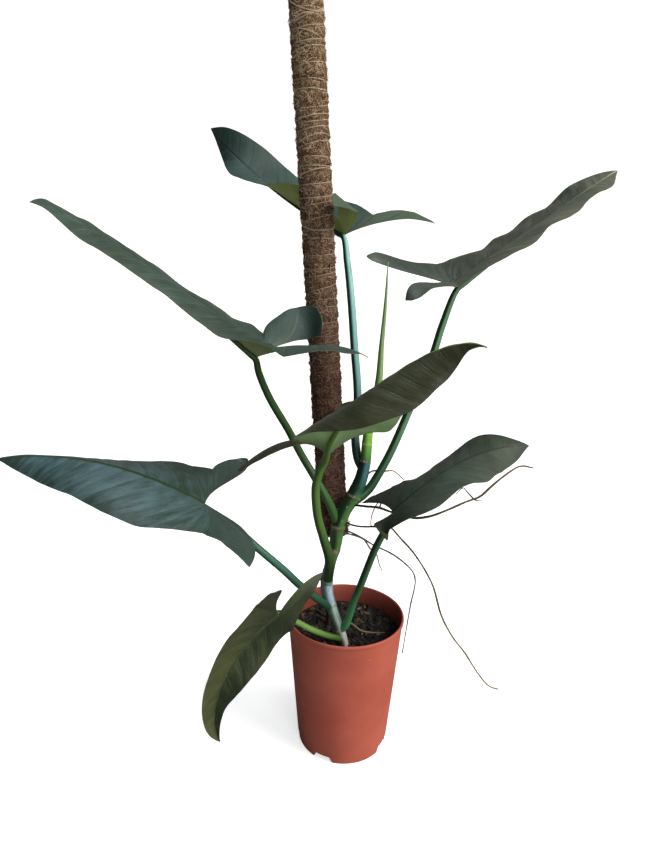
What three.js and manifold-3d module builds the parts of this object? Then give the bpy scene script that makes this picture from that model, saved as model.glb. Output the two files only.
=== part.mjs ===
// A silver leaf philodendron in a terracotta-coloured nursery pot, climbing a coir pole.
// Millimetres, +Z up. The origin is the centre of the pot's foot, on the surface it stands on.
// +X is to the right and +Y away from a viewer who faces the front of the pot.
import * as THREE from 'three';
import { mergeVertices } from 'three/addons/utils/BufferGeometryUtils.js';
import Module from 'manifold-3d';

const wasm = await Module();
wasm.setup();

// Pot: a thin-walled moulded nursery pot with a small rolled rim, a notched foot and a hub in its floor
const potHeight = 207.5;
const rimRadius = 85;
const footRadius = 66.7;
const wallAtTop = 83.8;
const wallThickness = 2.4;
const rimLipHeight = 5;
const potFloorZ = 9;
const potSides = 40;
const hubRadius = 18;
const notchCount = 4;
const notchWidthAtTop = 22;
const notchWidthAtFoot = 30;
const notchHeight = 8;
const notchDepth = 24;
const notchTurn = -117;
const drainCount = 6;
const drainRadius = 5;
const drainRing = 38;

// Soil: filled to a little below the rim
const soilSurfaceZ = 181;
const soilClearance = 0.35;
const soilMound = 3.2;

// Coir pole: a coir-wrapped length on a bare stake, leaning slightly to the left
const coirRadius = 21;
const coirBottomZ = 331;
const coirTopZ = 1020;
const stakeRadius = 4;
const stakeBottomZ = 70;
const stakeBottomX = -27.5;
const stakeTopX = -21.5;
const poleAtSoil = new THREE.Vector3(-9.7, 10, 181);
const poleLean = -0.0716;
const coirSides = 28;
const stakeSides = 14;

// Blades and stalks
const bladeThickness = 1.3;
const ribRadius = 3.4;
const ribFadesAt = 0.93;
const touchGap = 0.3;
const stemSides = 12;
const stemSteps = 30;
const stalkSides = 9;
const rootSides = 6;

const clayColour = 0xb65846;
const soilColour = 0x231a15;
const coirColour = 0x6a5040;
const stakeColour = 0x8a6a48;
const stemColour = 0x77897c;
const stalkColour = 0x2f5e3a;
const bladeColour = 0x3c5a4c;
const youngColour = 0x7fa63c;
const rootColour = 0x6b5a3c;

function vector(place) {
  return new THREE.Vector3(place[0], place[1], place[2]);
}

// A mesh becomes a solid for joins and cuts, and a solid becomes a mesh again
function solidOf(geometry) {
  const plain = geometry.clone();
  plain.deleteAttribute('normal');
  plain.deleteAttribute('uv');
  const merged = mergeVertices(plain, 1e-4);
  return new wasm.Manifold(new wasm.Mesh({
    numProp: 3,
    vertProperties: new Float32Array(merged.attributes.position.array),
    triVerts: new Uint32Array(merged.index.array),
  }));
}

function geometryOf(solid) {
  const mesh = solid.getMesh();
  const geometry = new THREE.BufferGeometry();
  geometry.setAttribute('position', new THREE.BufferAttribute(new Float32Array(mesh.vertProperties), 3));
  geometry.setIndex(new THREE.BufferAttribute(new Uint32Array(mesh.triVerts), 1));
  geometry.computeVertexNormals();
  return geometry;
}

function largestBody(solid) {
  const bodies = solid.decompose();
  let best = bodies[0];
  for (const body of bodies) {
    if (body.volume() > best.volume()) {
      best = body;
    }
  }
  return best;
}

function indexedGeometry(points, faces) {
  const geometry = new THREE.BufferGeometry();
  const places = points.flatMap((point) => [point.x, point.y, point.z]);
  geometry.setAttribute('position', new THREE.Float32BufferAttribute(places, 3));
  geometry.setIndex(faces.flat());
  return geometry;
}

// A round stalk that follows a smooth path, with its radius set at each point of the path
function stalkGeometry(places, radii, sides, steps) {
  const curve = new THREE.CatmullRomCurve3(places.map(vector), false, 'centripetal');
  const frames = curve.computeFrenetFrames(steps, false);
  const points = [];
  const faces = [];
  for (let step = 0; step <= steps; step += 1) {
    const along = step / steps;
    const centre = curve.getPointAt(along);
    const part = curve.getUtoTmapping(along) * (radii.length - 1);
    const before = Math.min(Math.floor(part), radii.length - 2);
    const radius = THREE.MathUtils.lerp(radii[before], radii[before + 1], part - before);
    for (let side = 0; side < sides; side += 1) {
      const angle = side / sides * Math.PI * 2;
      points.push(centre.clone()
        .addScaledVector(frames.normals[step], Math.cos(angle) * radius)
        .addScaledVector(frames.binormals[step], Math.sin(angle) * radius));
    }
  }
  for (let step = 0; step < steps; step += 1) {
    for (let side = 0; side < sides; side += 1) {
      const next = (side + 1) % sides;
      const low = step * sides;
      const high = low + sides;
      faces.push([low + side, low + next, high + next]);
      faces.push([low + side, high + next, high + side]);
    }
  }
  const first = points.push(curve.getPointAt(0)) - 1;
  const last = points.push(curve.getPointAt(1)) - 1;
  const end = steps * sides;
  for (let side = 0; side < sides; side += 1) {
    const next = (side + 1) % sides;
    faces.push([first, next, side]);
    faces.push([last, end + side, end + next]);
  }
  return indexedGeometry(points, faces);
}

function widened(radii) {
  return radii.map((radius) => radius + touchGap);
}

// Leaves. Each blade is arrow-shaped: a long main part and two lobes that point back past its stalk.
// Its midrib runs from the junction with the stalk through two bends to the tip. The two faces
// vectors say which way the upper side looks at the base and at the tip. Right and left are the
// halves beside the midrib. Widths are half widths from the stalk towards the tip, lifts are how far
// the wavy margin stands above the plain half, and folds are its angles to the flat at the base, the
// middle and the tip. LobeBack and lobeOut place the lobe's tip. A lobe with blunt 1 ends round, one
// with blunt 0 in a point. The angles are in degrees.
const leaves = {
  a: {
    junction: [-15, 46, 738], bend1: [-79, 115, 772], bend2: [-165, 144, 828], tip: [-212, 195, 886],
    facesAtBase: [0.356, -0.075, 0.911], facesAtTip: [-0.532, -0.038, 0.081], rows: 20,
    right: {
      widths: [51, 61, 53, 52, 34, 20], lifts: [-0.9, 0.8, 0.5, -1, -0.4, 0.4, 0.3, -0.4, -0.3, -0.1],
      folds: [51, 13, -18], cup: -13, lobeBack: 58, lobeOut: 114, outerBulge: 0.11,
      sinusBulge: -0.01, blunt: 0.3, lobeDroop: 7, lobeTwist: -2,
      outerLifts: [1.5, -0.4, -2.2], sinusLifts: [2.9, 3.2],
    },
    left: {
      widths: [31, 47, 53, 38, 21, 12], lifts: [-6.5, -2.5, 5.4, 3.8, -2.4, -2.6, -0.5, 0.4, 0.3, 0.7],
      folds: [47, 21, -15], cup: -6, lobeBack: 63, lobeOut: 107, outerBulge: 0.12,
      sinusBulge: 0.09, blunt: 0.7, lobeDroop: 0, lobeTwist: -23,
      outerLifts: [0.9, -0.8, -0.5], sinusLifts: [9.2, 0.1],
    },
    stalk: [[16, -20, 436], [9, -12, 450], [5, 0, 480], [7, 7, 530], [1, 17, 595], [-5, 28, 658],
      [-11, 39, 704], [-15, 46, 738]],
    stalkRadii: [5.6, 6, 5.6, 5.4, 5.3, 5.1, 4.6, 4],
  },
  b: {
    junction: [-118, -75, 595], bend1: [-161, -93, 632], bend2: [-259, -146, 738], tip: [-321, -189, 758],
    facesAtBase: [0.276, 0.223, 0.943], facesAtTip: [0.143, -0.191, 0.879], rows: 20,
    right: {
      widths: [46, 74, 70, 65, 46, 35], lifts: [-0.5, -1.3, 0.4, 2.5, -2.8, 0.5, 0.6, -1, -0.8, 0.9],
      folds: [65, 27, 15], cup: -60, lobeBack: 59, lobeOut: 120, outerBulge: 0.24,
      sinusBulge: -0.01, blunt: 0.9, lobeDroop: 52, lobeTwist: 88,
      outerLifts: [-5.4, 4.1, -0.8], sinusLifts: [3.1, 3.5],
    },
    left: {
      widths: [72, 65, 71, 53, 42, 31], lifts: [-4.5, 0.4, 2.2, -1.4, 0.8, 0.7, -0.9, 0.2, -2.3, 0.9],
      folds: [48, 18, 11], cup: -70, lobeBack: 95, lobeOut: 114, outerBulge: 0.11,
      sinusBulge: -0.08, blunt: 0, lobeDroop: 14, lobeTwist: 70,
      outerLifts: [5.3, -0.7, -2.5], sinusLifts: [0.6, 4.2],
    },
    stalk: [[-15, -28, 356], [-19, -30, 370], [-30, -31, 396], [-50, -29, 431], [-66, -28, 458],
      [-82, -35, 492], [-106, -54, 541], [-117, -70, 575], [-118, -75, 595]],
    stalkRadii: [5.8, 6, 5.6, 5.2, 5, 4.9, 4.6, 4.3, 4],
  },
  c: {
    junction: [125, 0, 676], bend1: [193, -6, 731], bend2: [267, 46, 782], tip: [347, 87, 827],
    facesAtBase: [-0.584, 0.173, 0.763], facesAtTip: [0.447, 0.057, 0.3], rows: 22,
    right: {
      widths: [59, 61, 62, 48, 26, 17], lifts: [-1.6, 0.4, -1.2, -2.3, 3.8, -0.8, -0.9, 0.9, 1.1, -0.1],
      folds: [23, 14, 12], cup: -51, lobeBack: 73, lobeOut: 107, outerBulge: 0.09,
      sinusBulge: -0.16, blunt: 0.4, lobeDroop: 38, lobeTwist: 61,
      outerLifts: [4.3, -3.3, -2.7], sinusLifts: [0, 10.9],
    },
    left: {
      widths: [56, 60, 62, 60, 39, 16], lifts: [1, -0.4, -1.3, -3.1, 1.9, 0, 2.8, -3.1, 1.8, 0],
      folds: [51, 15, -8], cup: -16, lobeBack: 73, lobeOut: 74, outerBulge: 0.13,
      sinusBulge: -0.11, blunt: 0.6, lobeDroop: -25, lobeTwist: 51,
      outerLifts: [-2, 3.5, -5.6], sinusLifts: [4.2, 4.1],
    },
    stalk: [[4, -26, 392], [15, -21, 399], [26, -17, 409], [36, -14, 425], [53, -10, 459], [75, -6, 516],
      [101, -3, 586], [112, -1, 628], [125, 0, 676]],
    stalkRadii: [6, 6.4, 6, 5.6, 5.4, 5.2, 5, 4.7, 4],
  },
  d: {
    junction: [-33, -78, 474], bend1: [-42, -142, 534], bend2: [76, -191, 656], tip: [112, -240, 635],
    facesAtBase: [-0.09, 0.48, 0.86], facesAtTip: [-0.19, -0.33, 0.12], rows: 20,
    right: {
      widths: [31, 44, 53, 54, 32, 8], lifts: [-1.8, -0.7, -0.9, -0.3, -2.6, 0.2, -0.2, 0.6, -1.1, 2.4],
      folds: [66, 2, -38], cup: -73, lobeBack: 63, lobeOut: 125, outerBulge: 0.13,
      sinusBulge: -0.1, blunt: 0.2, lobeDroop: -43, lobeTwist: 23,
      outerLifts: [-6.5, 1.5, 0.6], sinusLifts: [2, 0],
    },
    left: {
      widths: [24, 69, 65, 51, 30, 18], lifts: [-1.1, -1.3, -2.4, -2.6, 0.4, 0.6, 0.3, -0.5, 0.2, -0.4],
      folds: [43, -23, -82], cup: -33, lobeBack: 24, lobeOut: 104, outerBulge: 0.18,
      sinusBulge: 0, blunt: 1, lobeDroop: 60, lobeTwist: 65,
      outerLifts: [0.9, -3.2, -9.1], sinusLifts: [0, 0],
    },
    stalk: [[-29, -31, 266], [-28, -34, 279], [-26, -46, 316], [-34, -56, 350], [-42, -62, 381],
      [-45, -66, 402], [-47, -70, 432], [-45, -75, 454], [-33, -78, 474]],
    stalkRadii: [7, 7.4, 6.8, 6, 5.6, 5.5, 5.3, 4.9, 4.2],
  },
  e: {
    junction: [54, -62, 394], bend1: [100, -90, 461], bend2: [178, 5, 469], tip: [247, 18, 463],
    facesAtBase: [-0.791, 0.244, 0.591], facesAtTip: [-0.116, -0.649, 0.334], rows: 20,
    right: {
      widths: [36, 49, 46, 43, 31, 20], lifts: [-0.8, 2.7, -2, 1, 1.6, -3, 1, 0.7, -0.2, -0.2],
      folds: [0, -10, -7], cup: -29, lobeBack: 26, lobeOut: 54, outerBulge: 0.12,
      sinusBulge: 0.17, blunt: 0, lobeDroop: -82, lobeTwist: -25,
      outerLifts: [0.3, 0, -1.9], sinusLifts: [1.2, 1.6],
    },
    left: {
      widths: [68, 71, 60, 46, 41, 14], lifts: [-1.9, -0.3, 1.7, -0.8, -0.2, 0.9, -1, -0.5, 0.7, -0.1],
      folds: [25, -4, -20], cup: -25, lobeBack: 69, lobeOut: 73, outerBulge: 0.11,
      sinusBulge: -0.09, blunt: 0.2, lobeDroop: -3, lobeTwist: 10,
      outerLifts: [-2.7, -0.6, 0.3], sinusLifts: [1.4, 0.5],
    },
    stalk: [[-9, -39, 203], [-2, -43, 214], [3, -46, 232], [9, -49, 258], [16, -52, 280], [25, -56, 312],
      [34, -60, 342], [43, -62, 364], [54, -62, 394]],
    stalkRadii: [5, 5.4, 5.2, 5, 5, 4.9, 4.8, 4.6, 4],
  },
  f: {
    junction: [-185, -80, 408], bend1: [-263, -103, 464], bend2: [-354, -48, 466], tip: [-456, -55, 454],
    facesAtBase: [0.37, -0.16, 0.92], facesAtTip: [0.03, -0.37, 0.93], rows: 20,
    right: {
      widths: [65, 64, 67, 54, 35, 12], lifts: [2.9, 0.6, 1.7, -0.2, -0.9, -2.2, -1.6, 0.3, 2.9, 4.1],
      folds: [15, -21, -46], cup: -11, lobeBack: 43, lobeOut: 108, outerBulge: 0.18,
      sinusBulge: -0.09, blunt: 1, lobeDroop: 14, lobeTwist: 18,
      outerLifts: [-3.3, -3, 3.3], sinusLifts: [-2.5, 0.1],
    },
    left: {
      widths: [61, 72, 73, 57, 39, 19], lifts: [-4.2, -2.7, -5.5, -0.8, 1.9, 3.4, 2, 0.2, -1.3, -0.7],
      folds: [17, -4, -22], cup: -30, lobeBack: 54, lobeOut: 105, outerBulge: 0.02,
      sinusBulge: 0.28, blunt: 0.1, lobeDroop: -8, lobeTwist: 12,
      outerLifts: [4.4, 4.1, -3.2], sinusLifts: [0.4, -2.6],
    },
    stalk: [[-21, -35, 236], [-30, -42, 246], [-43, -52, 262], [-65, -62, 286], [-86, -70, 312],
      [-119, -78, 347], [-148, -82, 377], [-185, -80, 408]],
    stalkRadii: [5.2, 5.6, 5.4, 5.2, 5.1, 4.9, 4.6, 4],
  },
  g: {
    junction: [-90, -112, 272], bend1: [-137, -101, 227], bend2: [-191, -133, 157], tip: [-165, -132, 93],
    facesAtBase: [0.21, -0.94, -0.25], facesAtTip: [0.12, -0.99, -0.09], rows: 20,
    right: {
      widths: [42, 39, 39, 31, 22, 12], lifts: [-1, 0.3, 0.9, -0.9, 0.3, 1, -0.4, -0.4, -0.1, 0.5],
      folds: [6, 24, 44], cup: 13, lobeBack: 56, lobeOut: 58, outerBulge: 0.1,
      sinusBulge: -0.08, blunt: 0.6, lobeDroop: 0, lobeTwist: 10,
      outerLifts: [1.3, -0.9, -0.6], sinusLifts: [-0.2, 2],
    },
    left: {
      widths: [27, 27, 32, 26, 13, 6], lifts: [1.6, -0.1, 0.2, 0.1, 0, 0.9, -0.1, -1.5, 0.3, 0.3],
      folds: [16, 24, 35], cup: 9, lobeBack: 79, lobeOut: 9, outerBulge: -0.07,
      sinusBulge: 0.15, blunt: 0.2, lobeDroop: 21, lobeTwist: 0,
      outerLifts: [-2.7, 0.9, 0.1], sinusLifts: [0.7, -1.1],
    },
    stalk: [[-4, -40, 190], [-13, -47, 197], [-27, -57, 207], [-51, -72, 227], [-69, -84, 245],
      [-81, -98, 259], [-90, -112, 272]],
    stalkRadii: [4.2, 4.4, 4.4, 4.2, 4.1, 3.9, 3.5],
  },
};

// One smooth curve through the values given at some stations
function smoothValue(stations, values, place) {
  const last = stations.length - 1;
  const slopes = values.map((value, k) => {
    const before = Math.max(k - 1, 0);
    const after = Math.min(k + 1, last);
    return (values[after] - values[before]) / (stations[after] - stations[before]);
  });
  let k = 0;
  while (k < last - 1 && place >= stations[k + 1]) {
    k += 1;
  }
  const span = stations[k + 1] - stations[k];
  const t = (place - stations[k]) / span;
  return (2 * t ** 3 - 3 * t ** 2 + 1) * values[k] + (t ** 3 - 2 * t ** 2 + t) * span * slopes[k]
    + (3 * t ** 2 - 2 * t ** 3) * values[k + 1] + (t ** 3 - t ** 2) * span * slopes[k + 1];
}

const widthStations = [0, 0.14, 0.32, 0.55, 0.75, 0.9, 1];
const liftStations = [0, 0.1, 0.2, 0.3, 0.4, 0.5, 0.6, 0.7, 0.8, 0.9, 1];
const lobeStations = [0, 1 / 3, 2 / 3, 1];

// The midrib's point at a share of its length, with its direction, the blade's upward normal and
// the direction across the blade
function midribFrame(leaf, along) {
  const curve = new THREE.CubicBezierCurve3(vector(leaf.junction), vector(leaf.bend1),
    vector(leaf.bend2), vector(leaf.tip));
  const point = curve.getPoint(along);
  const forward = curve.getTangent(along);
  const up = vector(leaf.facesAtBase).lerp(vector(leaf.facesAtTip), along);
  up.addScaledVector(forward, -up.dot(forward)).normalize();
  const across = new THREE.Vector3().crossVectors(forward, up);
  return { point, forward, up, across };
}

// The angle between a half and the flat of the blade, a little larger or smaller towards its margin
function angleAt(half, fold, out) {
  return THREE.MathUtils.degToRad(fold + half.cup * out / (2 * half.widths[1]));
}

function mainPoint(leaf, half, turn, along, column) {
  const { point, up, across } = midribFrame(leaf, along);
  const out = smoothValue(widthStations, [...half.widths, 0], along) * column;
  const [base, middle, tip] = half.folds;
  const fold = base * (1 - along) * (1 - 2 * along) + 4 * middle * along * (1 - along)
    + tip * along * (2 * along - 1);
  const angle = angleAt(half, fold, out);
  const lift = smoothValue(liftStations, [...half.lifts, 0], along) * column ** 2;
  return point
    .addScaledVector(across, turn * out * Math.cos(angle))
    .addScaledVector(up, out * Math.sin(angle) + lift);
}

// The lobe's two edges, flat, as curves that meet at the lobe's tip. The first number of a place is
// how far back it is and the second how far out.
const roundEnd = 0.22;

function lobeEdge(half, outer, share) {
  const start = new THREE.Vector2(0, outer ? half.widths[0] : 0);
  const end = new THREE.Vector2(half.lobeBack, half.lobeOut);
  const along = end.clone().sub(start);
  const sideways = outer ? new THREE.Vector2(-along.y, along.x) : new THREE.Vector2(along.y, -along.x);
  if (outer && sideways.y < 0) {
    sideways.negate();
  }
  const bulge = (outer ? half.outerBulge : half.sinusBulge) * 4 / 3;
  const first = start.clone().addScaledVector(along, 1 / 3).addScaledVector(sideways, bulge);
  const pointed = start.clone().addScaledVector(along, 2 / 3).addScaledVector(sideways, bulge);
  const round = end.clone().addScaledVector(sideways, roundEnd);
  return new THREE.CubicBezierCurve(start, first, pointed.lerp(round, half.blunt), end).getPoint(share);
}

function lobePoint(leaf, half, turn, share, column) {
  const { point, forward, up, across } = midribFrame(leaf, 0);
  const flat = lobeEdge(half, false, share).lerp(lobeEdge(half, true, share), column);
  const angle = angleAt(half, half.folds[0] + half.lobeTwist * share, flat.y);
  const droop = THREE.MathUtils.degToRad(half.lobeDroop * share);
  const outer = smoothValue(lobeStations, [half.lifts[0], ...half.outerLifts], share);
  const sinus = smoothValue(lobeStations, [0, ...half.sinusLifts, half.outerLifts[2]], share);
  const lift = column ** (2 - share) * outer + (1 - column) ** (2 - share) * sinus;
  return point
    .addScaledVector(forward, -flat.x * Math.cos(droop))
    .addScaledVector(up, -flat.x * Math.sin(droop) + flat.y * Math.sin(angle) + lift)
    .addScaledVector(across, turn * flat.y * Math.cos(angle));
}

const columnShares = [0, 0.09, 0.4, 0.72, 1];
const lobeRows = 7;

function bladeGeometry(leaf, extra) {
  const points = [];
  const thick = [];
  const faces = [];
  const known = new Map();
  const columns = columnShares.length - 1;

  function vertex(place, below) {
    const key = `${place.x.toFixed(3)} ${place.y.toFixed(3)} ${place.z.toFixed(3)}`;
    if (!known.has(key)) {
      known.set(key, points.push(place) - 1);
      thick.push(below);
    }
    return known.get(key);
  }

  // A rib stands out below the midrib and fades towards the tip
  function thicknessBelow(along, column) {
    const rib = column === 0 ? ribRadius * THREE.MathUtils.clamp(1 - along / ribFadesAt, 0, 1) : 0;
    return bladeThickness / 2 + rib;
  }

  for (const [half, turn] of [[leaf.right, 1], [leaf.left, -1]]) {
    const rows = [];
    for (let row = 0; row <= leaf.rows; row += 1) {
      const along = 1 - row / leaf.rows;
      rows.push(columnShares.map((share, column) => vertex(
        mainPoint(leaf, half, turn, along, share), thicknessBelow(along, column))));
    }
    for (let row = 1; row <= lobeRows; row += 1) {
      rows.push(columnShares.map((share) => vertex(
        lobePoint(leaf, half, turn, row / lobeRows, share), bladeThickness / 2)));
    }
    for (let row = 0; row < rows.length - 1; row += 1) {
      for (let column = 0; column < columns; column += 1) {
        const near = [rows[row][column], rows[row][column + 1]];
        const far = [rows[row + 1][column], rows[row + 1][column + 1]];
        const pair = [[near[0], far[0], far[1]], [near[0], far[1], near[1]]];
        for (const face of pair) {
          if (new Set(face).size === 3) {
            faces.push(turn > 0 ? face : [face[0], face[2], face[1]]);
          }
        }
      }
    }
  }

  const normals = points.map(() => new THREE.Vector3());
  for (const [a, b, c] of faces) {
    const first = points[b].clone().sub(points[a]);
    const second = points[c].clone().sub(points[a]);
    const normal = first.cross(second);
    for (const corner of [a, b, c]) {
      normals[corner].add(normal);
    }
  }
  const edges = new Map();
  for (const [a, b, c] of faces) {
    for (const [from, to] of [[a, b], [b, c], [c, a]]) {
      if (edges.has(`${to} ${from}`)) {
        edges.delete(`${to} ${from}`);
      } else {
        edges.set(`${from} ${to}`, [from, to]);
      }
    }
  }
  const outward = points.map(() => new THREE.Vector3());
  for (const [from, to] of edges.values()) {
    const side = points[to].clone().sub(points[from]).cross(normals[from]).normalize();
    outward[from].add(side);
    outward[to].add(side);
  }
  const count = points.length;
  const wider = points.map((point, k) => point.clone().addScaledVector(outward[k].normalize(), extra));
  const upper = wider.map((point, k) => point.clone()
    .addScaledVector(normals[k].normalize(), bladeThickness / 2 + extra));
  const lower = wider.map((point, k) => point.clone()
    .addScaledVector(normals[k], -thick[k] - extra));
  const closed = faces.map((face) => [...face]);
  closed.push(...faces.map(([a, b, c]) => [a + count, c + count, b + count]));
  for (const [from, to] of edges.values()) {
    closed.push([from, from + count, to + count]);
    closed.push([from, to + count, to]);
  }
  return indexedGeometry([...upper, ...lower], closed);
}

// Main stem: jointed, silvery at the foot and teal above, leaning up beside the pole
const stemPath = [[2, -41, 150], [-4, -40, 189], [-10, -38, 206], [-22, -35, 240], [-28, -33, 260],
  [-29, -31, 278], [-24, -30, 305], [-18, -29, 330], [-15, -28, 358], [-7, -27, 381], [5, -25, 402],
  [14, -23, 426], [19, -21, 450]];
const stemRadii = [6, 6.6, 7.6, 7.6, 8.6, 8.4, 7.2, 7.8, 9.8, 9.4, 10, 8.6, 7.4];

// The newest leaf is still a rolled spear, standing in a bright green sheath
const sheathPath = [[19.1, -20.9, 450.6], [20, -20, 470], [21, -19, 487]];
const sheathRadii = [7.2, 6.9, 6.3];
const spearPath = [[21.1, -18.9, 487.6], [23, -16, 511], [32, -12, 546], [35, -6, 602], [38, -3, 659],
  [39, 0, 705]];
const spearRadii = [5.6, 5.8, 5.2, 3.2, 1.9, 0.6];

// Aerial roots grow from the stem's joints
const roots = [
  { path: [[-3, -26, 386], [6, -32, 390], [20, -42, 393], [37, -48, 394], [52, -46, 388], [82, -56, 384],
    [101, -60, 388], [121, -60, 396], [149, -52, 406], [169, -46, 412], [182, -42, 423], [199, -36, 436],
    [222, -30, 449], [240, -26, 446]], radius: 1.7 },
  { path: [[-12, -28, 366], [8, -38, 363], [30, -46, 366], [48, -46, 369], [69, -50, 350], [88, -50, 328],
    [114, -48, 284], [130, -50, 236], [147, -52, 205], [165, -54, 182], [186, -56, 150], [203, -58, 131],
    [215, -60, 128]], radius: 1.3 },
  { path: [[-15, -28, 352], [-2, -18, 346], [16, -12, 335], [34, -6, 321], [68, 4, 299], [95, 10, 272],
    [101, 14, 254], [97, 18, 212], [94, 20, 177], [90, 24, 125]], radius: 1.2 },
  { path: [[-15, -28, 350], [-2, -24, 345], [20, -24, 337], [30, -26, 324], [38, -28, 318], [43, -30, 302],
    [47, -30, 293]], radius: 1.2 },
  { path: [[12, -24, 420], [29, -10, 431], [46, 2, 427], [60, 10, 425], [77, 18, 409]], radius: 1.2 },
  { path: [[-9, -38, 203], [5, -26, 207], [21, -26, 196], [38, -22, 190], [56, -20, 189]], radius: 1.3 },
];

const plant = new THREE.Group();

function addPiece(name, geometry, colour, roughness) {
  geometry.computeVertexNormals();
  const material = new THREE.MeshStandardMaterial({ color: colour, roughness, metalness: 0 });
  const mesh = new THREE.Mesh(geometry, material);
  mesh.name = name;
  plant.add(mesh);
}

function wallRadiusAt(z) {
  return THREE.MathUtils.lerp(footRadius, wallAtTop, z / potHeight);
}

// Pot
function potGeometry() {
  const lipBottom = potHeight - rimLipHeight;
  const profile = [
    [0, 0],
    [hubRadius, 0],
    [hubRadius + 2, potFloorZ],
    [wallRadiusAt(potFloorZ) - wallThickness - 5, potFloorZ],
    [wallRadiusAt(0) - wallThickness - 1.5, 1.2],
    [wallRadiusAt(0) - wallThickness, 0],
    [footRadius - 0.6, 0],
    [footRadius, 0.8],
    [wallRadiusAt(lipBottom), lipBottom],
    [rimRadius - 0.4, lipBottom + 0.3],
    [rimRadius, lipBottom + 1.4],
    [rimRadius, potHeight - 1.2],
    [rimRadius - 0.8, potHeight],
    [rimRadius - 3, potHeight],
    [wallRadiusAt(lipBottom) - wallThickness, lipBottom],
    [wallRadiusAt(potFloorZ) - wallThickness, potFloorZ + wallThickness],
    [0, potFloorZ + wallThickness],
  ];
  const lathe = new THREE.LatheGeometry(profile.map(([r, z]) => new THREE.Vector2(r, z)), potSides);
  lathe.rotateX(Math.PI / 2);
  let pot = solidOf(lathe);
  for (let k = 0; k < notchCount; k += 1) {
    const outline = new THREE.Shape([
      new THREE.Vector2(-notchWidthAtFoot / 2, -1),
      new THREE.Vector2(notchWidthAtFoot / 2, -1),
      new THREE.Vector2(notchWidthAtTop / 2, notchHeight),
      new THREE.Vector2(-notchWidthAtTop / 2, notchHeight),
    ]);
    const notch = new THREE.ExtrudeGeometry(outline, { depth: notchDepth, bevelEnabled: false });
    notch.rotateX(Math.PI / 2);
    notch.rotateZ(Math.PI / 2);
    notch.translate(footRadius - notchDepth / 2, 0, 0);
    notch.rotateZ(THREE.MathUtils.degToRad(notchTurn + k * 360 / notchCount));
    pot = pot.subtract(solidOf(notch));
  }
  for (let k = 0; k < drainCount; k += 1) {
    const drain = new THREE.CylinderGeometry(drainRadius, drainRadius, 4 * wallThickness, 10);
    drain.rotateX(Math.PI / 2);
    drain.translate(drainRing, 0, potFloorZ);
    drain.rotateZ(k / drainCount * Math.PI * 2);
    pot = pot.subtract(solidOf(drain));
  }
  return geometryOf(pot);
}
addPiece('pot', potGeometry(), clayColour, 0.6);

// Coir pole and its stake
function poleCentre(z) {
  return [poleAtSoil.x + poleLean * (z - poleAtSoil.z), poleAtSoil.y, z];
}

const stakeEnds = [
  [stakeBottomX, poleAtSoil.y, stakeBottomZ],
  [stakeTopX, poleAtSoil.y, coirBottomZ - 2 * touchGap],
];
addPiece('pole_stake', stalkGeometry(stakeEnds, [stakeRadius, stakeRadius], stakeSides, 1), stakeColour, 0.8);
const coirEnds = [poleCentre(coirBottomZ), poleCentre(coirTopZ)];
addPiece('coir_pole', stalkGeometry(coirEnds, [coirRadius, coirRadius], coirSides, 1), coirColour, 1);

// Soil: a low mound with plain holes where the stem and the stake stand in it
const stemSolid = solidOf(stalkGeometry(stemPath, stemRadii, stemSides, stemSteps));
const stemRoom = solidOf(stalkGeometry(stemPath, widened(stemRadii), stemSides, stemSteps));
const stakeRoom = solidOf(stalkGeometry(stakeEnds, widened([stakeRadius, stakeRadius]), stakeSides, 1));

function soilGeometry() {
  const bottom = potFloorZ + wallThickness + soilClearance;
  const inner = (z) => wallRadiusAt(z) - wallThickness - soilClearance;
  const profile = [
    [0, bottom],
    [inner(bottom), bottom],
    [inner(soilSurfaceZ) - 0.6, soilSurfaceZ - 3],
    [inner(soilSurfaceZ) * 0.8, soilSurfaceZ - 0.5],
    [inner(soilSurfaceZ) * 0.52, soilSurfaceZ + 0.4],
    [inner(soilSurfaceZ) * 0.26, soilSurfaceZ],
    [0, soilSurfaceZ + 0.6],
  ];
  const geometry = new THREE.LatheGeometry(profile.map(([r, z]) => new THREE.Vector2(r, z)), potSides);
  geometry.rotateX(Math.PI / 2);
  const place = geometry.attributes.position;
  for (let k = 0; k < place.count; k += 1) {
    if (place.getZ(k) > soilSurfaceZ - 1) {
      const bump = Math.sin(place.getX(k) * 0.21) * Math.cos(place.getY(k) * 0.17 + 1);
      place.setZ(k, place.getZ(k) + bump * soilMound * 0.5);
    }
  }
  return geometry;
}

const soil = solidOf(soilGeometry()).subtract(stemRoom).subtract(stakeRoom);
addPiece('soil', geometryOf(largestBody(soil)), soilColour, 1);
addPiece('main_stem', geometryOf(stemSolid), stemColour, 0.45);

// Leaves: a stalk seated on the stem and under the blade, and the blade
const sheathRoom = solidOf(stalkGeometry(sheathPath, widened(sheathRadii), stemSides, 4));
for (const [letter, leaf] of Object.entries(leaves)) {
  const blade = bladeGeometry(leaf, 0);
  const bladeRoom = solidOf(blade).add(solidOf(bladeGeometry(leaf, touchGap)));
  const tube = solidOf(stalkGeometry(leaf.stalk, leaf.stalkRadii, stalkSides, 2 * leaf.stalk.length));
  const stalk = largestBody(tube.subtract(stemRoom).subtract(bladeRoom).subtract(sheathRoom));
  addPiece(`stalk_${letter}`, geometryOf(stalk), stalkColour, 0.4);
  addPiece(`blade_${letter}`, blade, bladeColour, 0.45);
}

// Rolled new leaf and its sheath
const sheath = solidOf(stalkGeometry(sheathPath, sheathRadii, stemSides, 4)).subtract(stemRoom);
addPiece('new_leaf_sheath', geometryOf(largestBody(sheath)), youngColour, 0.4);
addPiece('rolled_new_leaf', stalkGeometry(spearPath, spearRadii, 8, 12), youngColour, 0.4);

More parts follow.
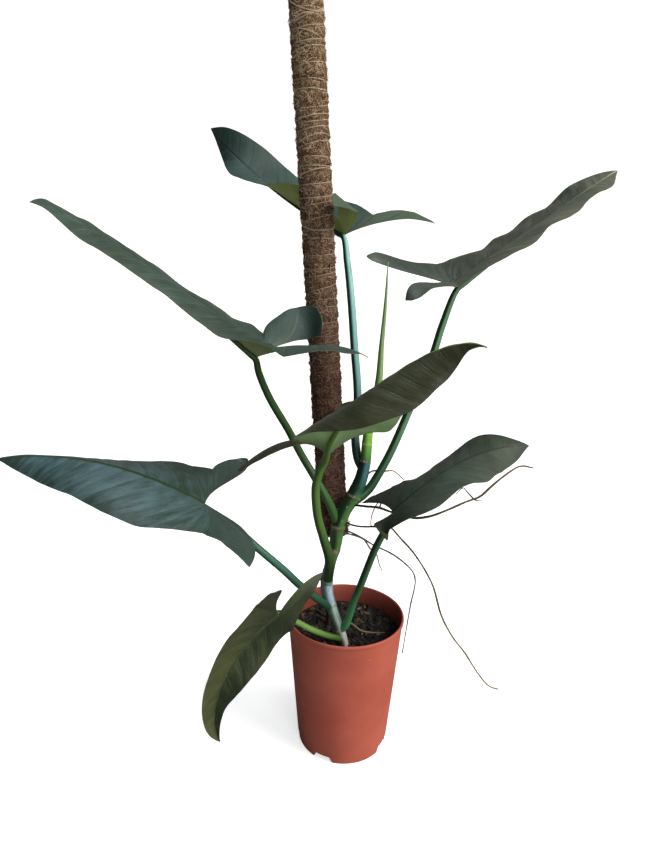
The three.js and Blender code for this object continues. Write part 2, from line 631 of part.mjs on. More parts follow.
// Aerial roots
roots.forEach((root, k) => {
  const radii = [root.radius, root.radius, root.radius, root.radius * 0.85, root.radius * 0.6];
  const tube = solidOf(stalkGeometry(root.path, radii, rootSides, 2 * root.path.length));
  addPiece(`aerial_root_${k + 1}`, geometryOf(largestBody(tube.subtract(stemRoom))), rootColour, 0.7);
});

export default plant;
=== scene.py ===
import math

import bpy
import numpy as np
from mathutils import Matrix, Vector, noise


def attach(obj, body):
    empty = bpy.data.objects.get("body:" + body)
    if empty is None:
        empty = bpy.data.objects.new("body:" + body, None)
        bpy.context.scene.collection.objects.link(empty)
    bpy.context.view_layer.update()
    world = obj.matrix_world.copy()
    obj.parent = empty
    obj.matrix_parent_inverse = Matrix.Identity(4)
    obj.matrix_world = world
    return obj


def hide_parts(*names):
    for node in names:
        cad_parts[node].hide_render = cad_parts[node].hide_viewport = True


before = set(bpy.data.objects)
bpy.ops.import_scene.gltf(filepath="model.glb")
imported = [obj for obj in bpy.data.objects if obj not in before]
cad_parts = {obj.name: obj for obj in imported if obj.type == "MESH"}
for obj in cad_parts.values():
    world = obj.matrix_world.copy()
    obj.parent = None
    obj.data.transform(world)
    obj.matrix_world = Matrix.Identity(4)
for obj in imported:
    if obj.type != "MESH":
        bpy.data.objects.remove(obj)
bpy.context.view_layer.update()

# Pot: a tapered nursery pot, injection moulded in terracotta-coloured polypropylene. It has a small
# flat band at the rim, a step above the foot, and a foot ring with notches that let water run off.
MM = 0.001
POT_HEIGHT = 207.5
RIM_RADIUS = 85.0
FOOT_RADIUS = 66.7
WALL_AT_TOP = 83.8
WALL_THICKNESS = 2.4
LIP_HEIGHT = 5.0
POT_FLOOR_Z = 9.0
FOOT_STEP_Z = 12.5
HUB_RADIUS = 18.0
NOTCH_COUNT = 4
NOTCH_AT_TOP = 22.0
NOTCH_AT_FOOT = 30.0
NOTCH_HEIGHT = 8.0
NOTCH_TURN = -117.0
FOOT_STEP_DEPTH = 0.95
FLOOR_FILLET = 2.0
POT_COLUMNS = 288
# How strong the painted shade on the pot's inner wall is, and where it fades
INNER_SHADE_AT_SOIL = 0.62
INNER_SHADE_LOST = 0.3
INNER_SHADE_FADES_FROM_Z = 185.0
INNER_SHADE_FADES_OVER = 22.0


def linear(colour):
    """An sRGB hex colour as the linear RGBA that the shaders take."""
    channels = [int(colour[k:k + 2], 16) / 255 for k in (1, 3, 5)]
    return [c / 12.92 if c <= 0.04045 else ((c + 0.055) / 1.055) ** 2.4 for c in channels] + [1.0]


def add(tree, kind, settings=None, inputs=None, stops=()):
    """Adds a node with its settings, its inputs as values or links, and a ramp's stops."""
    node = tree.nodes.new(kind)
    for name, value in (settings or {}).items():
        setattr(node, name, value)
    for name, value in (inputs or {}).items():
        if isinstance(value, bpy.types.NodeSocket):
            tree.links.new(value, node.inputs[name])
        else:
            node.inputs[name].default_value = value
    for k, (place, colour) in enumerate(stops):
        elements = node.color_ramp.elements
        element = elements[k] if k < 2 else elements.new(place)
        element.position = place
        element.color = linear(colour) if isinstance(colour, str) else [colour] * 3 + [1.0]
    return node


def new_material(name):
    """A material with only a Principled surface, its node tree and that surface."""
    material = bpy.data.materials.new(name)
    material.use_nodes = True
    tree = material.node_tree
    return material, tree, tree.nodes["Principled BSDF"]


def make_piece(name, points, faces, materials, stands_for=(), layers=None, picks=None, crease=40):
    """A closed mesh from points in millimetres, as a piece that rides on the part's one body."""
    mesh = bpy.data.meshes.new(name)
    mesh.from_pydata((np.asarray(points) * MM).tolist(), [], [list(map(int, face)) for face in faces])
    for material in materials:
        mesh.materials.append(material)
    if picks is not None:
        mesh.polygons.foreach_set("material_index", np.asarray(picks, dtype=np.int32))
    for layer, values in (layers or {}).items():
        values = np.asarray(values, dtype=np.float32)
        kind = "FLOAT" if values.ndim == 1 else "FLOAT_VECTOR"
        attribute = mesh.attributes.new(layer, kind, "POINT")
        attribute.data.foreach_set("value" if values.ndim == 1 else "vector", values.ravel())
    mesh.polygons.foreach_set("use_smooth", [True] * len(mesh.polygons))
    mesh.set_sharp_from_angle(angle=math.radians(crease))
    mesh.validate()
    piece = bpy.data.objects.new(name, mesh)
    bpy.context.scene.collection.objects.link(piece)
    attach(piece, "root")
    if stands_for:
        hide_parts(*stands_for)
    return piece


def wall_radius(z):
    return FOOT_RADIUS + (WALL_AT_TOP - FOOT_RADIUS) * z / POT_HEIGHT


def pot_profile():
    """The pot's section as (radius, height), from the hub under the floor round to the floor's top,
    with its corners rounded by a few tenths of a millimetre."""
    lip = POT_HEIGHT - LIP_HEIGHT
    outside = [(wall_radius(z), z) for z in np.linspace(FOOT_STEP_Z + 0.4, lip - 2, 24)]
    inside = [(wall_radius(z) - WALL_THICKNESS, z) for z in np.linspace(lip - 1, POT_FLOOR_Z + 6, 16)]
    return [
        (0.01, 0), (HUB_RADIUS - 1, 0), (HUB_RADIUS, 0.4), (HUB_RADIUS + 2, POT_FLOOR_Z),
        (wall_radius(POT_FLOOR_Z) - WALL_THICKNESS - 3, POT_FLOOR_Z),
        (wall_radius(5) - WALL_THICKNESS - 0.4, 5), (wall_radius(0) - WALL_THICKNESS, 0.7),
        (wall_radius(0) - WALL_THICKNESS + 0.6, 0), (FOOT_RADIUS - 1.3, 0), (FOOT_RADIUS - 0.8, 0.7),
        (wall_radius(FOOT_STEP_Z) - FOOT_STEP_DEPTH, FOOT_STEP_Z),
    ] + outside + [
        (wall_radius(lip), lip - 0.6), (wall_radius(lip) + 0.3, lip - 0.1), (RIM_RADIUS - 0.35, lip + 0.2),
        (RIM_RADIUS, lip + 0.9), (RIM_RADIUS, POT_HEIGHT - 1.3), (RIM_RADIUS - 0.4, POT_HEIGHT - 0.4),
        (RIM_RADIUS - 1.3, POT_HEIGHT), (RIM_RADIUS - 2.3, POT_HEIGHT - 0.1),
        (RIM_RADIUS - 3.1, POT_HEIGHT - 0.7), (RIM_RADIUS - 3.4, POT_HEIGHT - 2),
    ] + inside + [
        (wall_radius(POT_FLOOR_Z) - WALL_THICKNESS - FLOOR_FILLET, POT_FLOOR_Z + WALL_THICKNESS),
        (0.01, POT_FLOOR_Z + WALL_THICKNESS),
    ]


def notch_rise(angle, z):
    """How high the foot is cut away at an angle round the pot, in millimetres."""
    pitch = 360 / NOTCH_COUNT
    off = (math.degrees(angle) - NOTCH_TURN + pitch / 2) % pitch - pitch / 2
    aside = abs(math.radians(off)) * FOOT_RADIUS
    slope = (NOTCH_AT_FOOT - NOTCH_AT_TOP) / 2
    share = min(max((NOTCH_AT_FOOT / 2 - aside) / slope, 0), 1)
    rise = NOTCH_HEIGHT * share
    return rise + z * (POT_FLOOR_Z - rise) / POT_FLOOR_Z if z < POT_FLOOR_Z else z


def lathe(profile, columns, height_at=None):
    """Points and faces of a closed turned body; height_at changes a height outside the hub by its
    angle."""
    rows = len(profile)
    points = []
    for column in range(columns):
        angle = 2 * math.pi * column / columns
        for radius, z in profile:
            high = height_at(angle, z) if height_at and radius > HUB_RADIUS + 3 else z
            points.append((radius * math.cos(angle), radius * math.sin(angle), high))
    faces = []
    for column in range(columns):
        here, there = column * rows, (column + 1) % columns * rows
        faces += [(here + k, there + k, there + k + 1, here + k + 1) for k in range(rows - 1)]
    low, high = len(points), len(points) + 1
    points += [(0, 0, profile[0][1]), (0, 0, profile[-1][1])]
    for column in range(columns):
        here, there = column * rows, (column + 1) % columns * rows
        faces.append((low, there, here))
        faces.append((high, here + rows - 1, there + rows - 1))
    return points, faces


# Polypropylene, injection moulded: a satin skin that is a little uneven in tone, in clouds 70 mm wide,
# with faint flow marks 6 mm wide and 50 mm long, and a few pale specks of dust about 2 mm wide.
def moulded_polypropylene():
    material, tree, surface = new_material("moulded_polypropylene")
    inside = add(tree, "ShaderNodeAttribute", {"attribute_name": "inside"})
    place = add(tree, "ShaderNodeTexCoord").outputs["Object"]
    cloudy = add(tree, "ShaderNodeTexNoise", inputs={"Vector": place, "Scale": 14.0, "Detail": 3.0})
    tone = add(tree, "ShaderNodeValToRGB", inputs={"Fac": cloudy.outputs["Fac"]},
               stops=[(0.3, "#ae5343"), (0.7, "#c06351")])
    dust = add(tree, "ShaderNodeTexVoronoi", inputs={"Vector": place, "Scale": 55.0, "Randomness": 1.0})
    speck = add(tree, "ShaderNodeValToRGB", inputs={"Fac": dust.outputs["Distance"]},
                stops=[(0.035, 0.6), (0.07, 0.0)])
    rare = add(tree, "ShaderNodeMath", {"operation": "GREATER_THAN"}, {0: dust.outputs["Color"], 1: 0.74})
    shown = add(tree, "ShaderNodeMath", {"operation": "MULTIPLY"}, {
        0: speck.outputs["Color"], 1: rare.outputs[0]})
    colour = add(tree, "ShaderNodeMix", {"data_type": "RGBA"},
                 {"Factor": shown.outputs[0], "A": tone.outputs["Color"], "B": linear("#d9b0a0")})
    # Painted shade on the inner wall, as strong as its 'inside' layer says
    inner_shaded = add(tree, "ShaderNodeMix", {"data_type": "RGBA"}, {
        "Factor": inside.outputs["Fac"], "A": colour.outputs["Result"], "B": linear("#4a1f17")})
    tree.links.new(inner_shaded.outputs["Result"], surface.inputs["Base Color"])
    flow = add(tree, "ShaderNodeMapping", inputs={"Vector": place, "Scale": (60.0, 60.0, 7.0)})
    grain = add(tree, "ShaderNodeTexNoise", inputs={
        "Vector": flow.outputs["Vector"], "Scale": 3.0, "Detail": 4.0})
    bump = add(tree, "ShaderNodeBump", inputs={
        "Height": grain.outputs["Fac"], "Strength": 0.12, "Distance": 0.0006})
    tree.links.new(bump.outputs["Normal"], surface.inputs["Normal"])
    surface.inputs["Roughness"].default_value = 0.5
    surface.inputs["IOR"].default_value = 1.42
    return material


# Painted shade on the inner wall: darkest up to just above the soil, and weaker towards the rim
pot_points, pot_faces = lathe(pot_profile(), POT_COLUMNS, notch_rise)
within = [math.hypot(x, y) < wall_radius(z) - 1 and z > POT_FLOOR_Z for x, y, z in pot_points]
inner_shade = [INNER_SHADE_AT_SOIL - INNER_SHADE_LOST * max(z - INNER_SHADE_FADES_FROM_Z, 0) / INNER_SHADE_FADES_OVER if shaded else 0
         for shaded, (x, y, z) in zip(within, pot_points)]
make_piece("nursery_pot", pot_points, pot_faces, [moulded_polypropylene()], ["pot"],
           {"inside": inner_shade}, crease=28)

# Soil: damp potting mix of bark, peat and a few pale fibres, filled to a little below the rim. Loose
# chips of bark lie all over it, so the surface is rough and almost black in its gaps.
SOIL_Z = 181.0
SOIL_CLEARANCE = 0.35
SOIL_EDGE_DROP = 1.5
SOIL_RINGS = 60
SOIL_COLUMNS = 150
HUMP_HEIGHT = 2.6
CRUMB_HEIGHT = 1.5
GRIT_HEIGHT = 0.7


def soil_height(x, y):
    """The soil's surface, in millimetres: low humps 33 mm wide, with crumbs of 7 mm and grit on them."""
    hump = HUMP_HEIGHT * noise.noise(Vector((x * 0.03, y * 0.03, 4.0)))
    crumb = CRUMB_HEIGHT * noise.noise(Vector((x * 0.14, y * 0.14, 9.0)))
    grit = GRIT_HEIGHT * noise.noise(Vector((x * 0.4, y * 0.4, 2.0)))
    return SOIL_Z + hump + (crumb + grit)


def soil_mesh():
    top = wall_radius(SOIL_Z) - WALL_THICKNESS - SOIL_CLEARANCE
    bottom_z = POT_FLOOR_Z + WALL_THICKNESS + SOIL_CLEARANCE
    bottom = wall_radius(bottom_z) - WALL_THICKNESS - FLOOR_FILLET - SOIL_CLEARANCE
    points = [(0.0, 0.0, soil_height(0, 0))]
    for ring in range(1, SOIL_RINGS + 1):
        radius = top * ring / SOIL_RINGS
        for column in range(SOIL_COLUMNS):
            angle = 2 * math.pi * column / SOIL_COLUMNS
            x, y = radius * math.cos(angle), radius * math.sin(angle)
            points.append((x, y, soil_height(x, y) - (SOIL_EDGE_DROP if ring == SOIL_RINGS else 0)))
    for radius, z in ((bottom, bottom_z), (0, bottom_z)):
        for column in range(SOIL_COLUMNS if radius else 1):
            angle = 2 * math.pi * column / SOIL_COLUMNS
            points.append((radius * math.cos(angle), radius * math.sin(angle), z))
    last = len(points) - 1
    faces = []
    for column in range(SOIL_COLUMNS):
        after = (column + 1) % SOIL_COLUMNS
        faces.append((0, 1 + column, 1 + after))
        for ring in range(SOIL_RINGS):
            low, high = 1 + ring * SOIL_COLUMNS, 1 + (ring + 1) * SOIL_COLUMNS
            faces.append((low + column, high + column, high + after, low + after))
        foot = 1 + SOIL_RINGS * SOIL_COLUMNS
        faces.append((last, foot + after, foot + column))
    return points, faces


# Potting mix: dark peat in crumbs of 4 mm that light sinks into, dull even where it is damp.
def damp_peat():
    material, tree, surface = new_material("damp_peat")
    place = add(tree, "ShaderNodeTexCoord").outputs["Object"]
    crumbs = add(tree, "ShaderNodeTexNoise", inputs={"Vector": place, "Scale": 260.0, "Detail": 6.0})
    colour = add(tree, "ShaderNodeValToRGB", inputs={"Fac": crumbs.outputs["Fac"]},
                 stops=[(0.4, "#070504"), (0.75, "#211711")])
    tree.links.new(colour.outputs["Color"], surface.inputs["Base Color"])
    bump = add(tree, "ShaderNodeBump", inputs={
        "Height": crumbs.outputs["Fac"], "Strength": 0.9, "Distance": 0.002})
    tree.links.new(bump.outputs["Normal"], surface.inputs["Normal"])
    surface.inputs["Roughness"].default_value = 0.85
    return material


# Pine bark, shredded: each chip has its own brown, from near black to a dry tan, and is rough at 2 mm.
def shredded_bark():
    material, tree, surface = new_material("shredded_bark")
    place = add(tree, "ShaderNodeTexCoord").outputs["Object"]
    own = add(tree, "ShaderNodeAttribute", {"attribute_name": "shade"})
    colour = add(tree, "ShaderNodeValToRGB", inputs={"Fac": own.outputs["Fac"]},
                 stops=[(0.0, "#080504"), (1.0, "#7d6546"), (0.66, "#100b08"), (0.88, "#3a291d")])
    rough = add(tree, "ShaderNodeTexNoise", inputs={"Vector": place, "Scale": 500.0, "Detail": 4.0})
    bump = add(tree, "ShaderNodeBump", inputs={
        "Height": rough.outputs["Fac"], "Strength": 0.7, "Distance": 0.001})
    tree.links.new(colour.outputs["Color"], surface.inputs["Base Color"])
    tree.links.new(bump.outputs["Normal"], surface.inputs["Normal"])
    surface.inputs["Roughness"].default_value = 0.75
    return material


def node_tree_with(name, sizes):
    """An empty Geometry Nodes tree with a geometry input and output and these named sizes."""
    tree = bpy.data.node_groups.new(name, "GeometryNodeTree")
    tree.interface.new_socket("Geometry", in_out="INPUT", socket_type="NodeSocketGeometry")
    tree.interface.new_socket("Geometry", in_out="OUTPUT", socket_type="NodeSocketGeometry")
    for size, value in sizes.items():
        kind = "NodeSocketInt" if isinstance(value, int) else "NodeSocketFloat"
        tree.interface.new_socket(size, in_out="INPUT", socket_type=kind)
    return tree


def grown(carrier, tree, sizes, name, materials):
    """Runs a Geometry Nodes tree on a carrier and keeps its result as a plain mesh piece."""
    modifier = carrier.modifiers.new(tree.name, "NODES")
    modifier.node_group = tree
    for socket in tree.interface.items_tree:
        if socket.in_out == "INPUT" and socket.name in sizes:
            modifier[socket.identifier] = sizes[socket.name]
    seen = carrier.evaluated_get(bpy.context.evaluated_depsgraph_get())
    mesh = bpy.data.meshes.new_from_object(seen)
    carrier.modifiers.remove(modifier)
    mesh.name = name
    mesh.materials.clear()
    for material in materials:
        mesh.materials.append(material)
    mesh.polygons.foreach_set("material_index", np.zeros(len(mesh.polygons), dtype=np.int32))
    piece = bpy.data.objects.new(name, mesh)
    bpy.context.scene.collection.objects.link(piece)
    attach(piece, "root")
    return piece


def chips_tree(sizes, material):
    """Bark chips: points scattered on the carrier, each with a crumpled ball pressed flat."""
    tree = node_tree_with("bark_chips", sizes)
    given = tree.nodes.new("NodeGroupInput")
    seed = given.outputs["Seed"]
    spread = add(tree, "GeometryNodeDistributePointsOnFaces", inputs={
        "Mesh": given.outputs["Geometry"], "Density": given.outputs["Chips per square metre"], "Seed": seed})
    # A ball one unit wide, dented by up to an eighth, that each chip's own three widths then scale
    ball = add(tree, "GeometryNodeMeshIcoSphere", inputs={"Radius": 0.5, "Subdivisions": 1})
    dent = add(tree, "FunctionNodeRandomValue", {"data_type": "FLOAT_VECTOR"},
               {"Min": (-0.13, -0.13, -0.13), "Max": (0.13, 0.13, 0.13), "Seed": 5})
    crumpled = add(tree, "GeometryNodeSetPosition", inputs={
        "Geometry": ball.outputs["Mesh"], "Offset": dent.outputs["Value"]})
    length = add(tree, "FunctionNodeRandomValue", {"data_type": "FLOAT"}, {
        2: given.outputs["Smallest"], 3: given.outputs["Largest"], "Seed": seed})
    slim = add(tree, "FunctionNodeRandomValue", {"data_type": "FLOAT_VECTOR"}, {
        "Min": (0.7, 0.4, 0.25), "Max": (1.0, 0.9, 0.6), "Seed": seed})
    size = add(tree, "ShaderNodeVectorMath", {"operation": "SCALE"}, {
        0: slim.outputs["Value"], "Scale": length.outputs[1]})
    turn = add(tree, "FunctionNodeRandomValue", {"data_type": "FLOAT_VECTOR"}, {
        "Min": (-0.7, -0.7, 0.0), "Max": (0.7, 0.7, 6.28), "Seed": seed})
    shade = add(tree, "FunctionNodeRandomValue", {"data_type": "FLOAT"}, {2: 0.0, 3: 1.0, "Seed": 11})
    shaded = add(tree, "GeometryNodeStoreNamedAttribute", {"data_type": "FLOAT", "domain": "POINT"}, {
        "Geometry": spread.outputs["Points"], "Name": "shade", "Value": shade.outputs[1]})
    placed = add(tree, "GeometryNodeInstanceOnPoints", inputs={
        "Points": shaded.outputs["Geometry"], "Instance": crumpled.outputs["Geometry"],
        "Rotation": turn.outputs["Value"], "Scale": size.outputs["Vector"]})
    real = add(tree, "GeometryNodeRealizeInstances", inputs={"Geometry": placed.outputs["Instances"]})
    dressed = add(tree, "GeometryNodeSetMaterial", inputs={
        "Geometry": real.outputs["Geometry"], "Material": material})
    add(tree, "NodeGroupOutput", inputs={"Geometry": dressed.outputs["Geometry"]})
    return tree


# A chip's length runs from 4 to 15.5 mm, and chips stay 6 mm clear of the pot's wall
CHIP_SIZES = {"Chips per square metre": 38000.0, "Smallest": 0.004, "Largest": 0.0155, "Seed": 3}
SOIL_SKIRT = 6.0

soil_points, soil_faces = soil_mesh()
soil = make_piece("potting_mix", soil_points, soil_faces, [damp_peat()], ["soil"])


def chip_bed():
    """The soil's open surface alone, kept clear of the pot's wall, for the chips to lie on."""
    inner = (wall_radius(SOIL_Z) - WALL_THICKNESS - SOIL_SKIRT) * MM
    keep = [p for p in soil.data.polygons
            if p.normal.z > 0.3 and math.hypot(p.center.x, p.center.y) < inner]
    mesh = bpy.data.meshes.new("chip_bed")
    mesh.from_pydata([v.co[:] for v in soil.data.vertices], [], [list(p.vertices) for p in keep])
    bed = bpy.data.objects.new("chip_bed", mesh)
    bpy.context.scene.collection.objects.link(bed)
    return bed


bark = shredded_bark()
bed = chip_bed()
grown(bed, chips_tree(CHIP_SIZES, bark), CHIP_SIZES, "bark_chips", [bark])
bpy.data.objects.remove(bed)

# Pole: coconut fibre wrapped round a core and bound with twine. The coir is matted and hairy, tan
# near the top and dark reddish brown where it is damp lower down. A thin bare stake carries it.
POLE_AT_SOIL = Vector((-9.7, 10.0, 181.0))
POLE_LEAN = -0.0716
COIR_RADIUS = 21.0
COIR_BOTTOM_Z = 331.0
COIR_TOP_Z = 1020.0
STAKE_RADIUS = 3.9
STAKE_BOTTOM = (-27.3, 10.0, 73.0)
STAKE_TOP = (-21.6, 10.0, 328.0)
COIR_COLUMNS = 96
COIR_STEP = 1.8
COIR_INSET = 0.5
LUMP_HEIGHT = 0.8
TUFT_HEIGHT = 0.9
TWINE_PITCH = 14.0
TWINE_START = 8.0
TWINE_PINCH = 1.3
PINCH_WIDTH = 2.6


def pole_centre(z):
    return np.array([POLE_AT_SOIL.x + POLE_LEAN * (z - POLE_AT_SOIL.z), POLE_AT_SOIL.y, z])


def ring_faces(rings, columns):
    """Faces of a tube of rings, with a fan of faces at each end."""
    faces = []
    for ring in range(rings - 1):
        low, high = ring * columns, (ring + 1) * columns
        for column in range(columns):
            after = (column + 1) % columns
            faces.append((low + column, low + after, high + after, high + column))
    first, last, end = rings * columns, rings * columns + 1, (rings - 1) * columns
    for column in range(columns):
        after = (column + 1) % columns
        faces.append((first, after, column))
        faces.append((last, end + column, end + after))
    return faces


def twine_height(turns):
    """The height of the unevenly wound twine after some turns round the pole."""
    uneven = turns + 0.24 * math.sin(turns * 2.1) + 0.17 * math.sin(turns * 5.3)
    return COIR_BOTTOM_Z + TWINE_START + TWINE_PITCH * uneven


def coir_radius(angle, z):
    """The matted coir's radius: lumpy, and drawn in where the twine binds it, in millimetres."""
    lump = Vector((math.cos(angle) * 2.2, math.sin(angle) * 2.2, z * 0.035))
    tuft = Vector((math.cos(angle) * 8.0, math.sin(angle) * 8.0, z * 0.3))
    share = (angle / (2 * math.pi)) % 1
    near = math.floor((z - COIR_BOTTOM_Z - TWINE_START) / TWINE_PITCH - share)
    off = min(abs(z - twine_height(near + more + share)) for more in (-1, 0, 1, 2))
    pinch = TWINE_PINCH * math.exp(-(off / PINCH_WIDTH) ** 2)
    return (COIR_RADIUS - COIR_INSET + LUMP_HEIGHT * noise.noise(lump) + TUFT_HEIGHT * noise.noise(tuft)
            - pinch)


def coir_mesh():
    """The wrap as a lumpy tube, with two smaller rings that round off each end."""
    ends = [(0.5, 0.55), (0.92, 0.05)]
    levels = [(COIR_BOTTOM_Z + drop, share) for share, drop in ends]
    levels += [(z, 1.0) for z in np.arange(COIR_BOTTOM_Z + 1.5, COIR_TOP_Z - 1.4, COIR_STEP)]
    levels += [(COIR_TOP_Z - drop, share) for share, drop in reversed(ends)]
    points = []
    for z, share in levels:
        centre = pole_centre(z)
        for column in range(COIR_COLUMNS):
            angle = 2 * math.pi * column / COIR_COLUMNS
            radius = coir_radius(angle, z) * share
            points.append(centre + radius * np.array([math.cos(angle), math.sin(angle), 0]))
    points += [pole_centre(COIR_BOTTOM_Z + 0.8), pole_centre(COIR_TOP_Z - 0.8)]
    return points, ring_faces(len(levels), COIR_COLUMNS)


def coir_colour(tree, mottle):
    """Coir's browns by a mottle from 0 to 1, darker and redder towards the pole's damp lower end."""
    place = add(tree, "ShaderNodeTexCoord").outputs["Object"]
    height = add(tree, "ShaderNodeSeparateXYZ", inputs={"Vector": place})
    damp = add(tree, "ShaderNodeMapRange", inputs={
        "Value": height.outputs["Z"], "From Min": 0.52, "From Max": 0.98, "To Min": 0.0, "To Max": 1.0})
    low = add(tree, "ShaderNodeValToRGB", inputs={"Fac": mottle},
              stops=[(0.36, "#24140f"), (0.68, "#9a7a68"), (0.52, "#5c4034")])
    high = add(tree, "ShaderNodeValToRGB", inputs={"Fac": mottle},
               stops=[(0.36, "#2e1d12"), (0.68, "#dcc3a0"), (0.52, "#856547")])
    browned = add(tree, "ShaderNodeMix", {"data_type": "RGBA"}, {
        "Factor": damp.outputs["Result"], "A": low.outputs["Color"], "B": high.outputs["Color"]})
    return browned.outputs["Result"]


# Coconut fibre, matted: matt, in many browns. A real fibre is a fifth of a millimetre thick, too fine
# to show, so the strands are drawn 3 mm apart.
def matted_coir():
    material, tree, surface = new_material("matted_coir")
    place = add(tree, "ShaderNodeTexCoord").outputs["Object"]
    strands = add(tree, "ShaderNodeTexNoise", inputs={
        "Vector": place, "Scale": 330.0, "Detail": 5.0, "Roughness": 0.6, "Distortion": 2.4})
    colour = coir_colour(tree, strands.outputs["Fac"])
    bump = add(tree, "ShaderNodeBump", inputs={
        "Height": strands.outputs["Fac"], "Strength": 1.0, "Distance": 0.003})
    tree.links.new(colour, surface.inputs["Base Color"])
    tree.links.new(bump.outputs["Normal"], surface.inputs["Normal"])
    surface.inputs["Roughness"].default_value = 0.95
    surface.inputs["Specular IOR Level"].default_value = 0.2
    return material


# Loose coconut fibre: each hair has a brown of its own and a faint gleam.
def loose_coir():
    material, tree, surface = new_material("loose_coir")
    own = add(tree, "ShaderNodeAttribute", {"attribute_name": "shade"})
    tree.links.new(coir_colour(tree, own.outputs["Fac"]), surface.inputs["Base Color"])
    surface.inputs["Roughness"].default_value = 0.8
    surface.inputs["Specular IOR Level"].default_value = 0.3
    return material


def fibres_tree(sizes, material):
    """Coir fibres: short bent hairs that lie on the pole every way, some with an end standing off."""
    tree = node_tree_with("coir_fibres", sizes)
    given = tree.nodes.new("NodeGroupInput")
    seed = given.outputs["Seed"]
    spread = add(tree, "GeometryNodeDistributePointsOnFaces", inputs={
        "Mesh": given.outputs["Geometry"], "Density": given.outputs["Fibres per square metre"], "Seed": seed})
    # An arc of unit radius, moved so that its middle lies on the coir
    hair = add(tree, "GeometryNodeCurveArc", inputs={
        "Resolution": 5, "Radius": 1.0, "Start Angle": -0.7, "Sweep Angle": 1.4})
    centred = add(tree, "GeometryNodeTransform", inputs={
        "Geometry": hair.outputs["Curve"], "Translation": (-1.0, 0.0, 0.0)})
    section = add(tree, "GeometryNodeCurvePrimitiveCircle", inputs={
        "Resolution": 3, "Radius": given.outputs["Thickness"]})
    solid = add(tree, "GeometryNodeCurveToMesh", inputs={
        "Curve": centred.outputs["Geometry"], "Profile Curve": section.outputs["Curve"], "Fill Caps": True})
    upright = add(tree, "FunctionNodeAlignRotationToVector", {"axis": "Z"}, {
        "Vector": spread.outputs["Normal"]})
    tilt = add(tree, "FunctionNodeRandomValue", {"data_type": "FLOAT_VECTOR"}, {
        "Min": (-0.32, -0.32, 0.0), "Max": (0.32, 0.32, 6.28), "Seed": seed})
    turned = add(tree, "FunctionNodeRotateRotation", {"rotation_space": "LOCAL"}, {
        "Rotation": upright.outputs["Rotation"], "Rotate By": tilt.outputs["Value"]})
    size = add(tree, "FunctionNodeRandomValue", {"data_type": "FLOAT"}, {
        2: given.outputs["Shortest"], 3: given.outputs["Longest"], "Seed": seed})
    shade = add(tree, "FunctionNodeRandomValue", {"data_type": "FLOAT"}, {2: 0.1, 3: 1.0, "Seed": 8})
    shaded = add(tree, "GeometryNodeStoreNamedAttribute", {"data_type": "FLOAT", "domain": "POINT"}, {
        "Geometry": spread.outputs["Points"], "Name": "shade", "Value": shade.outputs[1]})
    placed = add(tree, "GeometryNodeInstanceOnPoints", inputs={
        "Points": shaded.outputs["Geometry"], "Instance": solid.outputs["Mesh"],
        "Rotation": turned.outputs["Rotation"], "Scale": size.outputs[1]})
    real = add(tree, "GeometryNodeRealizeInstances", inputs={"Geometry": placed.outputs["Instances"]})
    dressed = add(tree, "GeometryNodeSetMaterial", inputs={
        "Geometry": real.outputs["Geometry"], "Material": material})
    add(tree, "NodeGroupOutput", inputs={"Geometry": dressed.outputs["Geometry"]})
    return tree


# A fibre's thickness is given for one of unit length, which its own length then scales
FIBRE_SIZES = {"Fibres per square metre": 76000.0, "Shortest": 0.003, "Longest": 0.0095, "Thickness": 0.034,
               "Seed": 21}

coir_points, coir_faces = coir_mesh()
coir = make_piece("coir_wrap", coir_points, coir_faces, [matted_coir()], ["coir_pole"])
fibre_look = loose_coir()
grown(coir, fibres_tree(FIBRE_SIZES, fibre_look), FIBRE_SIZES, "coir_fibres", [fibre_look])


STEPS_PER_SPAN = 24


def smooth_path(places, radii, spacing):
    """A smooth curve through the places, with its radius, at an even spacing in millimetres."""
    places = np.asarray(places, dtype=float)
    radii = np.interp(np.linspace(0, 1, len(places)), np.linspace(0, 1, len(radii)), radii)
    padded = np.vstack([2 * places[0] - places[1], places, 2 * places[-1] - places[-2]])
    found, wide = [], []
    for k in range(len(places) - 1):
        before, start, end, after = padded[k:k + 4]
        spans = ((before, start), (start, end), (end, after))
        gaps = [max(np.linalg.norm(b - a), 1e-6) ** 0.5 for a, b in spans]
        leave = (start - before) / gaps[0] - (end - before) / (gaps[0] + gaps[1]) + (end - start) / gaps[1]
        arrive = (end - start) / gaps[1] - (after - start) / (gaps[1] + gaps[2]) + (after - end) / gaps[2]
        leave, arrive = leave * gaps[1], arrive * gaps[1]
        for t in np.arange(STEPS_PER_SPAN) / STEPS_PER_SPAN:
            found.append((2 * t ** 3 - 3 * t ** 2 + 1) * start + (t ** 3 - 2 * t ** 2 + t) * leave
                         + (3 * t ** 2 - 2 * t ** 3) * end + (t ** 3 - t ** 2) * arrive)
            wide.append(radii[k] + (radii[k + 1] - radii[k]) * t)
    found.append(places[-1])
    wide.append(radii[-1])
    found = np.array(found)
    run = np.concatenate([[0], np.cumsum(np.linalg.norm(np.diff(found, axis=0), axis=1))])
    even = np.linspace(0, run[-1], max(int(run[-1] / spacing), 3) + 1)
    path = np.stack([np.interp(even, run, found[:, k]) for k in range(3)], axis=1)
    return path, np.interp(even, run, wide), even


# The side of stem and stalks that gets a painted highlight: to the right and the front, as the window is
WINDOW_SIDE = np.array([0.62, -0.77, 0.12])
START_DOME = 0.4
END_DOME = 0.6


